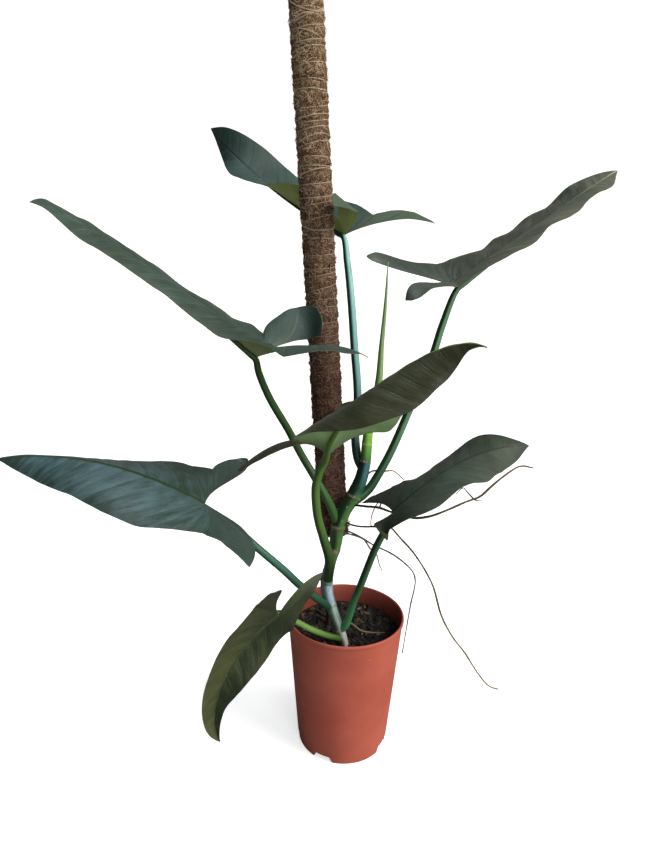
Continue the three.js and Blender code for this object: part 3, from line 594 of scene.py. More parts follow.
def tube(places, radii, sides, spacing, swell=None):
    """A round stalk along a smooth path: points, faces and layers that say where on it a point is and
    how much it faces the window. swell(run, angle) is a share by which the radius grows."""
    path, wide, run = smooth_path(places, radii, spacing)
    forward = np.gradient(path, axis=0)
    forward /= np.linalg.norm(forward, axis=1)[:, None]
    side = np.cross(forward[0], [0.3, 0.9, 0.1])
    side /= np.linalg.norm(side)
    points, grain, lit = [], [], []
    for step, ahead in enumerate(forward):
        side = side - ahead * side.dot(ahead)
        side /= np.linalg.norm(side)
        other = np.cross(ahead, side)
        for k in range(sides):
            angle = 2 * math.pi * k / sides
            radius = wide[step] * (1 + (swell(run[step], angle) if swell else 0))
            outward = math.cos(angle) * side + math.sin(angle) * other
            points.append(path[step] + radius * outward)
            grain.append((radius * math.cos(angle), radius * math.sin(angle), run[step]))
            lit.append(outward.dot(WINDOW_SIDE))
    points += [path[0] - forward[0] * wide[0] * START_DOME, path[-1] + forward[-1] * wide[-1] * END_DOME]
    grain += [(0, 0, 0), (0, 0, run[-1])]
    grain = np.array(grain)
    layers = {"grain": grain, "along": grain[:, 2] / run[-1], "lit": lit + [0, 0]}
    return points, ring_faces(len(path), sides), layers


# Softwood, planed round: dark brown from the damp soil, its grain in streaks 1 mm wide and 30 mm long.
def planed_softwood():
    material, tree, surface = new_material("planed_softwood")
    lay = add(tree, "ShaderNodeAttribute", {"attribute_name": "grain"})
    drawn = add(tree, "ShaderNodeMapping", inputs={
        "Vector": lay.outputs["Vector"], "Scale": (0.9, 0.9, 0.03)})
    streaks = add(tree, "ShaderNodeTexNoise", inputs={
        "Vector": drawn.outputs["Vector"], "Scale": 1.0, "Detail": 5.0})
    colour = add(tree, "ShaderNodeValToRGB", inputs={"Fac": streaks.outputs["Fac"]},
                 stops=[(0.3, "#1c130e"), (0.75, "#3a2b1e")])
    bump = add(tree, "ShaderNodeBump", inputs={
        "Height": streaks.outputs["Fac"], "Strength": 0.4, "Distance": 0.0008})
    tree.links.new(colour.outputs["Color"], surface.inputs["Base Color"])
    tree.links.new(bump.outputs["Normal"], surface.inputs["Normal"])
    surface.inputs["Roughness"].default_value = 0.7
    return material


stake_ends = [STAKE_BOTTOM, STAKE_TOP]
stake_points, stake_faces, stake_layers = tube(
    stake_ends, [STAKE_RADIUS, STAKE_RADIUS], sides=24, spacing=6.0)
make_piece("bare_stake", stake_points, stake_faces, [planed_softwood()], ["pole_stake"],
           stake_layers)

# Twine: thin two-ply jute wound round the coir in an uneven spiral with a few turns that cross it,
# pulled into the fibre so that only its outer side shows.
TWINE_RADIUS = 0.7
TURN_STEPS = 24
TWINE_UNWOUND = 22.0
TWINE_PROUD = 0.1
TWINE_SINK = 0.35
# Each turn that crosses the spiral: its height, its slope and the angle where it starts
CROSSED_TURNS = [(990.0, 13.0, 0.4), (976.0, -9.0, 2.0), (963.0, 12.0, 3.4), (955.0, -6.0, 5.1),
                 (868.0, -5.0, 1.2), (842.0, 9.0, 3.9), (806.0, 7.0, 4.0), (748.0, -7.0, 3.3)]


def wound_twine():
    """The spiral's points and faces, with the single turns that cross it in the same mesh."""
    def twine_place(z, angle):
        sunk = TWINE_SINK * noise.noise(Vector((angle * 1.3, z * 0.11, 6.0)))
        outward = np.array([math.cos(angle), math.sin(angle), 0])
        return pole_centre(z) + (coir_radius(angle, z) + TWINE_PROUD + sunk) * outward

    turns = (COIR_TOP_Z - COIR_BOTTOM_Z - TWINE_UNWOUND) / TWINE_PITCH
    spiral = [twine_place(twine_height(step / TURN_STEPS), 2 * math.pi * step / TURN_STEPS)
              for step in range(int(turns * TURN_STEPS))]
    runs = [spiral]
    for z, slope, start in CROSSED_TURNS:
        angles = [start + 2 * math.pi * step / TURN_STEPS for step in range(TURN_STEPS + 1)]
        runs.append([twine_place(z + slope * math.sin(a - start), a) for a in angles])
    points, faces, layers = [], [], {"grain": [], "along": []}
    for run in runs:
        more, skin, lay = tube(run, [TWINE_RADIUS, TWINE_RADIUS], sides=6, spacing=2.5)
        faces += [[k + len(points) for k in face] for face in skin]
        points += list(more)
        for name in layers:
            layers[name] += list(lay[name])
    return points, faces, layers


# Jute, spun into two-ply twine: dull beige, with its plies as slanting bands 2 mm apart.
def two_ply_jute():
    material, tree, surface = new_material("two_ply_jute")
    lay = add(tree, "ShaderNodeAttribute", {"attribute_name": "grain"})
    place = add(tree, "ShaderNodeTexCoord").outputs["Object"]
    height = add(tree, "ShaderNodeSeparateXYZ", inputs={"Vector": place})
    damp = add(tree, "ShaderNodeMapRange", inputs={
        "Value": height.outputs["Z"], "From Min": 0.55, "From Max": 0.8, "To Min": 0.0, "To Max": 1.0})
    plies = add(tree, "ShaderNodeTexWave", {"bands_direction": "DIAGONAL"}, {
        "Vector": lay.outputs["Vector"], "Scale": 0.35, "Distortion": 1.0})
    light = add(tree, "ShaderNodeValToRGB", inputs={"Fac": plies.outputs["Fac"]},
                stops=[(0.2, "#8f7b65"), (0.8, "#c3b097")])
    colour = add(tree, "ShaderNodeMix", {"data_type": "RGBA"}, {
        "Factor": damp.outputs["Result"], "A": linear("#6a5143"), "B": light.outputs["Color"]})
    tree.links.new(colour.outputs["Result"], surface.inputs["Base Color"])
    surface.inputs["Roughness"].default_value = 0.85
    surface.inputs["Specular IOR Level"].default_value = 0.3
    return material


twine_points, twine_faces, twine_layers = wound_twine()
make_piece("twine", twine_points, twine_faces, [two_ply_jute()], layers=twine_layers)

# Main stem: the climbing stem grows in joints, each ended by the ring where a leaf once sat. The old
# joints at the foot are grey-green with wax, silvery by a painted highlight, and the young ones above
# are dark teal to green.
STEM_PATH = [[2, -41, 150], [-4, -40, 189], [-10, -38, 206], [-22, -35, 240], [-28, -33, 260],
             [-29, -31, 278], [-24, -30, 305], [-18, -29, 330], [-15, -28, 358], [-7, -27, 381],
             [5, -25, 402], [14, -23, 426], [19, -21, 450]]
STEM_RADII = [6, 6.6, 7.6, 7.6, 8.6, 8.4, 7.2, 7.8, 9.8, 9.4, 10, 8.6, 7.4]
# How far up the stem each ring lies, and its width
STEM_RINGS = {57: 1.2, 95: 1.2, 132: 1.0, 179: 2.6, 214: 1.6, 262: 1.3, 313: 1.1}
RING_HEIGHT = 0.09
STEM_UNEVENNESS = 0.035
SCAR_SHOWN = 0.9


def stem_swell(run, angle):
    """Each ring stands out a little, and the skin between two rings is slightly uneven."""
    ring = sum(RING_HEIGHT * math.exp(-((run - at) / (wide + 0.4)) ** 2) for at, wide in STEM_RINGS.items())
    return ring + STEM_UNEVENNESS * noise.noise(Vector((math.cos(angle), math.sin(angle), run * 0.12)))


# Stem skin: waxy green tissue. Its colour changes joint by joint, with streaks 1 mm wide along it, a
# pale painted highlight in patches on the window's side, small pale dots, and each ring as a thin
# corky scar.
def waxy_stem():
    material, tree, surface = new_material("waxy_stem")
    lay = add(tree, "ShaderNodeAttribute", {"attribute_name": "grain"})
    along = add(tree, "ShaderNodeAttribute", {"attribute_name": "along"})
    drawn = add(tree, "ShaderNodeMapping", inputs={
        "Vector": lay.outputs["Vector"], "Scale": (0.8, 0.8, 0.06)})
    streaks = add(tree, "ShaderNodeTexNoise", inputs={
        "Vector": drawn.outputs["Vector"], "Scale": 1.0, "Detail": 5.0})
    joints = add(tree, "ShaderNodeValToRGB", inputs={"Fac": along.outputs["Fac"]}, stops=[
        (0.0, "#3b2f28"), (1.0, "#0b231b"), (0.15, "#5a5046"), (0.19, "#46564a"), (0.3, "#4a6056"),
        (0.31, "#4c605c"), (0.41, "#526867"), (0.43, "#1c3220"), (0.57, "#223e22"), (0.68, "#2c4a26"),
        (0.69, "#17291a"), (0.83, "#1d3520"), (0.85, "#0e2a1d")])
    # The painted highlight's colours joint by joint, laid on the side that faces the window
    highlight_colours = add(tree, "ShaderNodeValToRGB", inputs={"Fac": along.outputs["Fac"]}, stops=[
        (0.0, "#b3b0ac"), (1.0, "#4f8590"), (0.15, "#b9bab8"), (0.19, "#aac1b5"), (0.3, "#b0c9bf"),
        (0.31, "#b0c9da"), (0.41, "#c4daee"), (0.43, "#4d7a38"), (0.68, "#5f8f44"), (0.84, "#558745"),
        (0.87, "#2a5c4c")])
    facing = add(tree, "ShaderNodeAttribute", {"attribute_name": "lit"})
    # How much painted highlight a point gets, by how far it faces the window
    sheen_film = add(tree, "ShaderNodeMapRange", {"interpolation_type": "SMOOTHSTEP"}, {
        "Value": facing.outputs["Fac"], "From Min": 0.5, "From Max": 1.0, "To Min": 0.0, "To Max": 0.95})
    narrow = add(tree, "ShaderNodeMath", {"operation": "POWER"}, {0: sheen_film.outputs["Result"], 1: 1.7})
    patchy = add(tree, "ShaderNodeMapRange", inputs={
        "Value": streaks.outputs["Fac"], "From Min": 0.3, "From Max": 0.7, "To Min": 0.35, "To Max": 1.3})
    painted_highlight = add(tree, "ShaderNodeMath", {"operation": "MULTIPLY", "use_clamp": True}, {
        0: narrow.outputs[0], 1: patchy.outputs["Result"]})
    bright = add(tree, "ShaderNodeMix", {"data_type": "RGBA"}, {
        "Factor": painted_highlight.outputs[0], "A": joints.outputs["Color"], "B": highlight_colours.outputs["Color"]})
    dots = add(tree, "ShaderNodeTexVoronoi", inputs={"Vector": lay.outputs["Vector"], "Scale": 0.13})
    dot = add(tree, "ShaderNodeMapRange", inputs={
        "Value": dots.outputs["Distance"], "From Min": 0.07, "From Max": 0.11, "To Min": 0.8, "To Max": 0.0})
    dotted = add(tree, "ShaderNodeMix", {"data_type": "RGBA"}, {
        "Factor": dot.outputs["Result"], "A": bright.outputs["Result"], "B": linear("#c9d2c0")})
    scar = add(tree, "ShaderNodeAttribute", {"attribute_name": "scar"})
    cork = add(tree, "ShaderNodeValToRGB", inputs={"Fac": streaks.outputs["Fac"]},
               stops=[(0.35, "#4a3022"), (0.65, "#b39a80")])
    colour = add(tree, "ShaderNodeMix", {"data_type": "RGBA"}, {
        "Factor": scar.outputs["Fac"], "A": dotted.outputs["Result"], "B": cork.outputs["Color"]})
    bump = add(tree, "ShaderNodeBump", inputs={
        "Height": streaks.outputs["Fac"], "Strength": 0.35, "Distance": 0.0008})
    tree.links.new(colour.outputs["Result"], surface.inputs["Base Color"])
    tree.links.new(bump.outputs["Normal"], surface.inputs["Normal"])
    surface.inputs["Roughness"].default_value = 0.38
    surface.inputs["IOR"].default_value = 1.38
    surface.inputs["Coat Weight"].default_value = 0.15
    surface.inputs["Coat Roughness"].default_value = 0.22
    return material


stem_points, stem_faces, stem_layers = tube(
    STEM_PATH, STEM_RADII, sides=40, spacing=1.2, swell=stem_swell)
stem_run = stem_layers["grain"][:, 2]
ragged = np.array([noise.noise(Vector(g * 0.5)) for g in stem_layers["grain"]])
stem_layers["scar"] = SCAR_SHOWN * np.clip(sum(
    np.exp(-((stem_run + ragged * wide - at) / wide) ** 2) for at, wide in STEM_RINGS.items()), 0, 1)
make_piece("jointed_stem", stem_points, stem_faces, [waxy_stem()], ["main_stem"], stem_layers)

# Frayed scales: what is left of old leaf bases, dried to thin papery shreds. They still hold on at one
# joint of the stem and stand off its right side.
SHRED_COUNT = 22
SHRED_FROM = (-12.0, -28.0, 358.0)
SHRED_RING = 8.2
SHORTEST_SHRED = 2.5
LONGEST_SHRED = 7
SHRED_BEND = 1.1
SHRED_RADII = [0.7, 0.55, 0.2]


def joined(first, second):
    """Two bodies as one: their points, faces and layers put together."""
    points = list(first[0]) + list(second[0])
    faces = list(first[1]) + [[k + len(first[0]) for k in face] for face in second[1]]
    return points, faces, {name: list(first[2][name]) + list(second[2][name]) for name in first[2]}


# Dry scale tissue: papery and dull, reddish brown, paler along its fibres.
def dry_scale():
    material, tree, surface = new_material("dry_scale")
    lay = add(tree, "ShaderNodeAttribute", {"attribute_name": "grain"})
    fibres = add(tree, "ShaderNodeTexNoise", inputs={
        "Vector": lay.outputs["Vector"], "Scale": 0.9, "Detail": 3.0})
    colour = add(tree, "ShaderNodeValToRGB", inputs={"Fac": fibres.outputs["Fac"]},
                 stops=[(0.35, "#3c1f1b"), (0.7, "#7d5348")])
    tree.links.new(colour.outputs["Color"], surface.inputs["Base Color"])
    surface.inputs["Roughness"].default_value = 0.8
    return material


random_shred = np.random.default_rng(12)
shreds = None
for k in range(SHRED_COUNT):
    turned = random_shred.uniform(-0.7, 0.9)
    start = np.array(SHRED_FROM) + [
        SHRED_RING * math.cos(turned), -SHRED_RING * math.sin(turned), random_shred.uniform(-6, 5)]
    out = np.array([math.cos(turned), -math.sin(turned), random_shred.uniform(-0.6, 1.1)])
    bend = random_shred.normal(0, SHRED_BEND, 3)
    reach = random_shred.uniform(SHORTEST_SHRED, LONGEST_SHRED)
    places = [start, start + out * reach * 0.5 + bend, start + out * reach]
    shred = tube(places, SHRED_RADII, sides=5, spacing=1.0)
    shreds = shred if shreds is None else joined(shreds, shred)
make_piece("frayed_scales", shreds[0], shreds[1], [dry_scale()], layers=shreds[2])

# Leaves: seven arrow-shaped leaves, each a thin blade with two lobes that point back past its stalk.
# Right and left are the halves beside the midrib. The stalk runs on under the blade as its rib.

# Places are in millimetres and angles in degrees. Junction, bends and tip draw the midrib's curve. A
# half's folds raise it at base, middle and tip, its cup curls it, and its lifts wave the margin.
# Upper and silver are the upper skin without and with its wax, lobe is its tone in the lobes, made
# darker as painted shade (lighter in a, as painted light), and under is the lower skin. The stalk's
# highlight colour and its share are painted on the side that gets the light. Shares run from 0 to 1.
LEAVES = {
    "a": dict(
        junction=(-15, 46, 738), bend1=(-79, 115, 772), bend2=(-165, 144, 828), tip=(-212, 195, 886),
        faces_at_base=(0.356, -0.075, 0.911), faces_at_tip=(-0.532, -0.038, 0.081),
        right=dict(widths=(51, 61, 53, 52, 34, 20),
                   lifts=(-0.9, 0.8, 0.5, -1, -0.4, 0.4, 0.3, -0.4, -0.3, -0.1),
                   folds=(51, 13, -18), cup=-13, lobe_back=58, lobe_out=114, outer_bulge=0.11,
                   sinus_bulge=-0.01, blunt=0.3, lobe_droop=7, lobe_twist=-2,
                   outer_lifts=(1.5, -0.4, -2.2), sinus_lifts=(2.9, 3.2)),
        left=dict(widths=(31, 47, 53, 38, 21, 12),
                  lifts=(-6.5, -2.5, 5.4, 3.8, -2.4, -2.6, -0.5, 0.4, 0.3, 0.7),
                  folds=(47, 21, -15), cup=-6, lobe_back=63, lobe_out=107, outer_bulge=0.12,
                  sinus_bulge=0.09, blunt=0.7, lobe_droop=0, lobe_twist=-23,
                  outer_lifts=(0.9, -0.8, -0.5), sinus_lifts=(9.2, 0.1)),
        stalk=[(16, -20, 436), (9, -12, 450), (5, 0, 480), (7, 7, 530), (1, 17, 595), (-5, 28, 658),
               (-11, 39, 704), (-15, 46, 738)],
        stalk_radii=[5.6, 6, 5.6, 5.4, 5.3, 5.1, 4.6, 4],
        stalk_colours=["#16302a", "#173a33", "#1d3f2e"], painted_highlight="#8dc4be", highlight_share=0.95,
        upper="#1b3029", silver="#2b443c", lobe="#45553c", under="#a2b968", rib="#1a2d24",
        vein="#0e1b15", vein_share=0.8, matt=0.28),
    "b": dict(
        junction=(-118, -75, 595), bend1=(-161, -93, 632), bend2=(-259, -146, 738), tip=(-321, -189, 758),
        faces_at_base=(0.276, 0.223, 0.943), faces_at_tip=(0.143, -0.191, 0.879),
        right=dict(widths=(46, 74, 70, 65, 46, 35),
                   lifts=(-0.5, -1.3, 0.4, 2.5, -2.8, 0.5, 0.6, -1, -0.8, 0.9),
                   folds=(65, 27, 15), cup=-60, lobe_back=59, lobe_out=120, outer_bulge=0.24,
                   sinus_bulge=-0.01, blunt=0.9, lobe_droop=52, lobe_twist=88,
                   outer_lifts=(-5.4, 4.1, -0.8), sinus_lifts=(3.1, 3.5), crinkle=1.6),
        left=dict(widths=(72, 65, 71, 53, 42, 31),
                  lifts=(-4.5, 0.4, 2.2, -1.4, 0.8, 0.7, -0.9, 0.2, -2.3, 0.9),
                  folds=(48, 18, 11), cup=-70, lobe_back=95, lobe_out=114, outer_bulge=0.11,
                  sinus_bulge=-0.08, blunt=0, lobe_droop=14, lobe_twist=70,
                  outer_lifts=(5.3, -0.7, -2.5), sinus_lifts=(0.6, 4.2)),
        stalk=[(-15, -28, 356), (-19, -30, 370), (-30, -31, 396), (-50, -29, 431), (-66, -28, 458),
               (-82, -35, 492), (-106, -54, 541), (-117, -70, 575), (-118, -75, 595)],
        stalk_radii=[5.8, 6, 5.6, 5.2, 5, 4.9, 4.6, 4.3, 4],
        stalk_colours=["#355f2a", "#223c1d", "#1a2f17"], painted_highlight="#4d7a3c", highlight_share=0.35,
        upper="#25352a", silver="#384a3f", lobe="#283c31", under="#7f8d5e", rib="#5a6852", vein="#516457",
        bare_margin=0.06, matt=0.16),
    "c": dict(
        junction=(125, 0, 676), bend1=(193, -6, 731), bend2=(267, 46, 782), tip=(347, 87, 827),
        faces_at_base=(-0.584, 0.173, 0.763), faces_at_tip=(0.447, 0.057, 0.3),
        right=dict(widths=(59, 61, 62, 48, 26, 17),
                   lifts=(-1.6, 0.4, -1.2, -2.3, 3.8, -0.8, -0.9, 0.9, 1.1, -0.1),
                   folds=(23, 14, 12), cup=-51, lobe_back=73, lobe_out=107, outer_bulge=0.09,
                   sinus_bulge=-0.16, blunt=0.4, lobe_droop=38, lobe_twist=61,
                   outer_lifts=(4.3, -3.3, -2.7), sinus_lifts=(0, 10.9)),
        left=dict(widths=(56, 60, 62, 60, 39, 16),
                  lifts=(1, -0.4, -1.3, -3.1, 1.9, 0, 2.8, -3.1, 1.8, 0),
                  folds=(51, 15, -8), cup=-16, lobe_back=73, lobe_out=74, outer_bulge=0.13,
                  sinus_bulge=-0.11, blunt=0.6, lobe_droop=-25, lobe_twist=51,
                  outer_lifts=(-2, 3.5, -5.6), sinus_lifts=(4.2, 4.1)),
        stalk=[(4, -26, 392), (15, -21, 399), (26, -17, 409), (36, -14, 425), (53, -10, 459), (75, -6, 516),
               (101, -3, 586), (112, -1, 628), (125, 0, 676)],
        stalk_radii=[6, 6.4, 6, 5.6, 5.4, 5.2, 5, 4.7, 4],
        stalk_colours=["#25482a", "#152c18", "#16291a"], painted_highlight="#6a9c72", highlight_share=0.7,
        upper="#353d2e", silver="#5c5e4c", lobe="#35423a", under="#a6bb9c", rib="#74765a", vein="#2c3225",
        painted_sheen_half=0.05),
    "d": dict(
        junction=(-33, -78, 474), bend1=(-42, -142, 534), bend2=(76, -191, 656), tip=(112, -240, 635),
        faces_at_base=(-0.09, 0.48, 0.86), faces_at_tip=(-0.19, -0.33, 0.12),
        right=dict(widths=(31, 44, 53, 54, 32, 8),
                   lifts=(-1.8, -0.7, -0.9, -0.3, -2.6, 0.2, -0.2, 0.6, -1.1, 2.4),
                   folds=(66, 2, -38), cup=-73, lobe_back=63, lobe_out=125, outer_bulge=0.13,
                   sinus_bulge=-0.1, blunt=0.2, lobe_droop=-43, lobe_twist=23,
                   outer_lifts=(-6.5, 1.5, 0.6), sinus_lifts=(2, 0)),
        left=dict(widths=(24, 69, 65, 51, 30, 18),
                  lifts=(-1.1, -1.3, -2.4, -2.6, 0.4, 0.6, 0.3, -0.5, 0.2, -0.4),
                  folds=(43, -23, -82), cup=-33, lobe_back=24, lobe_out=104, outer_bulge=0.18,
                  sinus_bulge=0, blunt=1, lobe_droop=60, lobe_twist=65,
                  outer_lifts=(0.9, -3.2, -9.1), sinus_lifts=(0, 0)),
        stalk=[(-29, -31, 266), (-28, -34, 279), (-26, -46, 316), (-34, -56, 350), (-42, -62, 381),
               (-45, -66, 402), (-46, -70, 430), (-41.5, -75, 452), (-35.5, -80.5, 467), (-33, -78, 474)],
        stalk_radii=[7, 7.4, 6.8, 6, 5.7, 5.6, 5.5, 5.2, 4.9, 4.7], rib_starts=2, seam=15.0,
        stalk_colours=["#1a3317", "#233f1b", "#577a2e"], painted_highlight="#6b9347", highlight_share=0.4,
        upper="#323420", silver="#4a4c36", edge="#8f8b74", under="#9cbc84", under_lobe_shade=0.5, rib="#7a944f",
        vein="#282a1c", vein_share=0.3),
    "e": dict(
        junction=(54, -62, 394), bend1=(100, -90, 461), bend2=(178, 5, 469), tip=(247, 18, 463),
        faces_at_base=(-0.791, 0.244, 0.591), faces_at_tip=(-0.116, -0.649, 0.334),
        right=dict(widths=(36, 49, 46, 43, 31, 20),
                   lifts=(-0.8, 2.7, -2, 1, 1.6, -3, 1, 0.7, -0.2, -0.2),
                   folds=(0, -10, -7), cup=-29, lobe_back=26, lobe_out=54, outer_bulge=0.12,
                   sinus_bulge=0.17, blunt=0, lobe_droop=-82, lobe_twist=-25,
                   outer_lifts=(0.3, 0, -1.9), sinus_lifts=(1.2, 1.6)),
        left=dict(widths=(68, 71, 60, 46, 41, 14),
                  lifts=(-1.9, -0.3, 1.7, -0.8, -0.2, 0.9, -1, -0.5, 0.7, -0.1),
                  folds=(25, -4, -20), cup=-25, lobe_back=69, lobe_out=73, outer_bulge=0.11,
                  sinus_bulge=-0.09, blunt=0.2, lobe_droop=-3, lobe_twist=10,
                  outer_lifts=(-2.7, -0.6, 0.3), sinus_lifts=(1.4, 0.5)),
        stalk=[(-9, -39, 203), (-2, -43, 214), (3, -46, 232), (9, -49, 258), (16, -52, 280), (25, -56, 312),
               (34, -60, 342), (43, -62, 364), (54, -62, 394)],
        stalk_radii=[5, 5.4, 5.2, 5, 5, 4.9, 4.8, 4.6, 4],
        stalk_colours=["#458552", "#15301a", "#122514"], painted_highlight="#447a4e", highlight_share=0.5,
        upper="#2b3325", silver="#38483b", lobe="#262c20", under="#5c6b42", rib="#1c2819", vein="#4f5e4c",
        vein_share=0.3, matt=0.3),
    "f": dict(
        junction=(-185, -80, 408), bend1=(-263, -103, 464), bend2=(-354, -48, 466), tip=(-456, -55, 454),
        faces_at_base=(0.37, -0.16, 0.92), faces_at_tip=(0.03, -0.37, 0.93),
        right=dict(widths=(65, 64, 67, 54, 35, 12),
                   lifts=(2.9, 0.6, 1.7, -0.2, -0.9, -2.2, -1.6, 0.3, 2.9, 4.1),
                   folds=(15, -21, -46), cup=-11, lobe_back=43, lobe_out=108, outer_bulge=0.18,
                   sinus_bulge=-0.09, blunt=1, lobe_droop=14, lobe_twist=18,
                   outer_lifts=(-3.3, -3, 3.3), sinus_lifts=(-2.5, 0.1)),
        left=dict(widths=(61, 72, 73, 57, 39, 19),
                  lifts=(-4.2, -2.7, -5.5, -0.8, 1.9, 3.4, 2, 0.2, -1.3, -0.7),
                  folds=(17, -4, -22), cup=-30, lobe_back=54, lobe_out=105, outer_bulge=0.02,
                  sinus_bulge=0.28, blunt=0.1, lobe_droop=-8, lobe_twist=12,
                  outer_lifts=(4.4, 4.1, -3.2), sinus_lifts=(0.4, -2.6)),
        stalk=[(-21, -35, 236), (-30, -42, 246), (-43, -52, 262), (-65, -62, 286), (-86, -70, 312),
               (-119, -78, 347), (-148, -82, 377), (-185, -80, 408)],
        stalk_radii=[5.2, 5.6, 5.4, 5.2, 5.1, 4.9, 4.6, 4],
        stalk_colours=["#1f4a34", "#1d4030", "#1d3823"], painted_highlight="#4f8a74", highlight_share=0.4,
        upper="#2f3f38", silver="#516c70", lobe="#3a4c45", under="#6b7b4e", rib="#25401f", vein="#22362c",
        vein_share=0.4, painted_sheen_half=-0.06, bare_margin=0.14, rib_width=4.6),
    "g": dict(
        junction=(-90, -112, 272), bend1=(-137, -101, 227), bend2=(-191, -133, 157), tip=(-165, -132, 93),
        faces_at_base=(0.21, -0.94, -0.25), faces_at_tip=(0.12, -0.99, -0.09),
        right=dict(widths=(42, 39, 39, 31, 22, 12),
                   lifts=(-1, 0.3, 0.9, -0.9, 0.3, 1, -0.4, -0.4, -0.1, 0.5),
                   folds=(6, 24, 44), cup=13, lobe_back=56, lobe_out=58, outer_bulge=0.1,
                   sinus_bulge=-0.08, blunt=0.6, lobe_droop=0, lobe_twist=10,
                   outer_lifts=(1.3, -0.9, -0.6), sinus_lifts=(-0.2, 2)),
        left=dict(widths=(27, 27, 32, 26, 13, 6),
                  lifts=(1.6, -0.1, 0.2, 0.1, 0, 0.9, -0.1, -1.5, 0.3, 0.3),
                  folds=(16, 24, 35), cup=9, lobe_back=79, lobe_out=9, outer_bulge=-0.07,
                  sinus_bulge=0.15, blunt=0.2, lobe_droop=21, lobe_twist=0,
                  outer_lifts=(-2.7, 0.9, 0.1), sinus_lifts=(0.7, -1.1)),
        stalk=[(-4, -40, 190), (-13, -47, 197), (-27, -57, 207), (-51, -72, 227), (-69, -84, 245),
               (-81, -98, 259), (-90, -112, 272)],
        stalk_radii=[4.2, 4.4, 4.4, 4.2, 4.1, 3.9, 3.5],
        stalk_colours=["#33561f", "#557637", "#5f803b"], painted_highlight="#83aa62", highlight_share=0.4,
        upper="#1f2c16", silver="#464b2b", lobe="#2e3419", under="#3f4a2a", rib="#3a4527", vein="#3a4527",
        vein_share=0.3, painted_sheen_half=0.07, matt=0.12),
}
BLADE_THICKNESS = 1.1
MARGIN_THICKNESS = 0.6
MAIN_ROWS = 110
LOBE_ROWS = 40
COLUMNS = 34
WIDTH_STATIONS = (0, 0.14, 0.32, 0.55, 0.75, 0.9, 1)
LIFT_STATIONS = (0, 0.1, 0.2, 0.3, 0.4, 0.5, 0.6, 0.7, 0.8, 0.9, 1)
LOBE_STATIONS = (0, 1 / 3, 2 / 3, 1)
ROUND_END = 0.22
VEIN_SPACING = 27.0
VEIN_GAP_SHARE = 0.8
VEIN_LEAN = 0.6
VEIN_BEND = 0.38
FAN_STEP = 0.3
QUILT_HEIGHT = 0.5
QUILT_WIDTH = 5.0
GROOVE = 0.22
RIB_GROOVE = 0.5
RIB_AT_TIP = 0.8
RIB_GAIN = 2.0
FLAT_MARGIN = 12.0
THIN_MARGIN = 8.0
SINUS_MARGIN = 14
CRINKLE = 0.4
LOBE_WAVES = 12.0
MAIN_WAVES = 27.0


def smooth_value(stations, values, place):
    """One smooth curve through the values given at some stations, read at each place."""
    stations, values = np.array(stations, dtype=float), np.array(values, dtype=float)
    last = len(stations) - 1
    before, after = np.maximum(np.arange(last + 1) - 1, 0), np.minimum(np.arange(last + 1) + 1, last)
    slopes = (values[after] - values[before]) / (stations[after] - stations[before])
    k = np.clip(np.searchsorted(stations, place, side="right") - 1, 0, last - 1)
    span = stations[k + 1] - stations[k]
    t = (place - stations[k]) / span
    return ((2 * t ** 3 - 3 * t ** 2 + 1) * values[k] + (t ** 3 - 2 * t ** 2 + t) * span * slopes[k]
            + (3 * t ** 2 - 2 * t ** 3) * values[k + 1] + (t ** 3 - t ** 2) * span * slopes[k + 1])


def midrib_frame(leaf, along):
    """The midrib's points, with its direction, the blade's upward normal and the way across."""
    a, b, c, d = (np.array(leaf[name], dtype=float) for name in ("junction", "bend1", "bend2", "tip"))
    t = np.asarray(along, dtype=float)[..., None]
    point = (1 - t) ** 3 * a + 3 * (1 - t) ** 2 * t * b + 3 * (1 - t) * t ** 2 * c + t ** 3 * d
    forward = 3 * (1 - t) ** 2 * (b - a) + 6 * (1 - t) * t * (c - b) + 3 * t ** 2 * (d - c)
    forward /= np.linalg.norm(forward, axis=-1, keepdims=True)
    up = np.array(leaf["faces_at_base"]) * (1 - t) + np.array(leaf["faces_at_tip"]) * t
    up = up - forward * (up * forward).sum(-1, keepdims=True)
    up /= np.linalg.norm(up, axis=-1, keepdims=True)
    return point, forward, up, np.cross(forward, up)


def crinkle(leaf, half, run):
    """Small waves of the margin, by the share of the way to the tip, or less than 0 in the lobe."""
    seed = leaf["junction"][0] + 40 * half["folds"][0]
    far = run * np.where(run < 0, LOBE_WAVES, MAIN_WAVES)
    waves = np.sin(far + seed) + 0.6 * np.sin(far * 1.7 + 2.3 * seed) + 0.3 * np.sin(far * 2.9 + 0.7 * seed)
    return half.get("crinkle", CRINKLE) * waves * np.clip((1 - np.abs(run)) * 5, 0, 1)


def main_points(leaf, half, turn, along, out, column):
    """The long part of a half: raised by its fold and cup, with a margin that waves up and down."""
    point, forward, up, across = midrib_frame(leaf, along)
    base, middle, tip = half["folds"]
    fold = (base * (1 - along) * (1 - 2 * along) + 4 * middle * along * (1 - along)
            + tip * along * (2 * along - 1))
    angle = np.radians(fold + half["cup"] * out / (2 * half["widths"][1]))
    wave = smooth_value(LIFT_STATIONS, [*half["lifts"], 0], along) + crinkle(leaf, half, along)
    lift = out * np.sin(angle) + wave * column ** 2
    return point + across * (turn * out * np.cos(angle))[..., None] + up * lift[..., None]


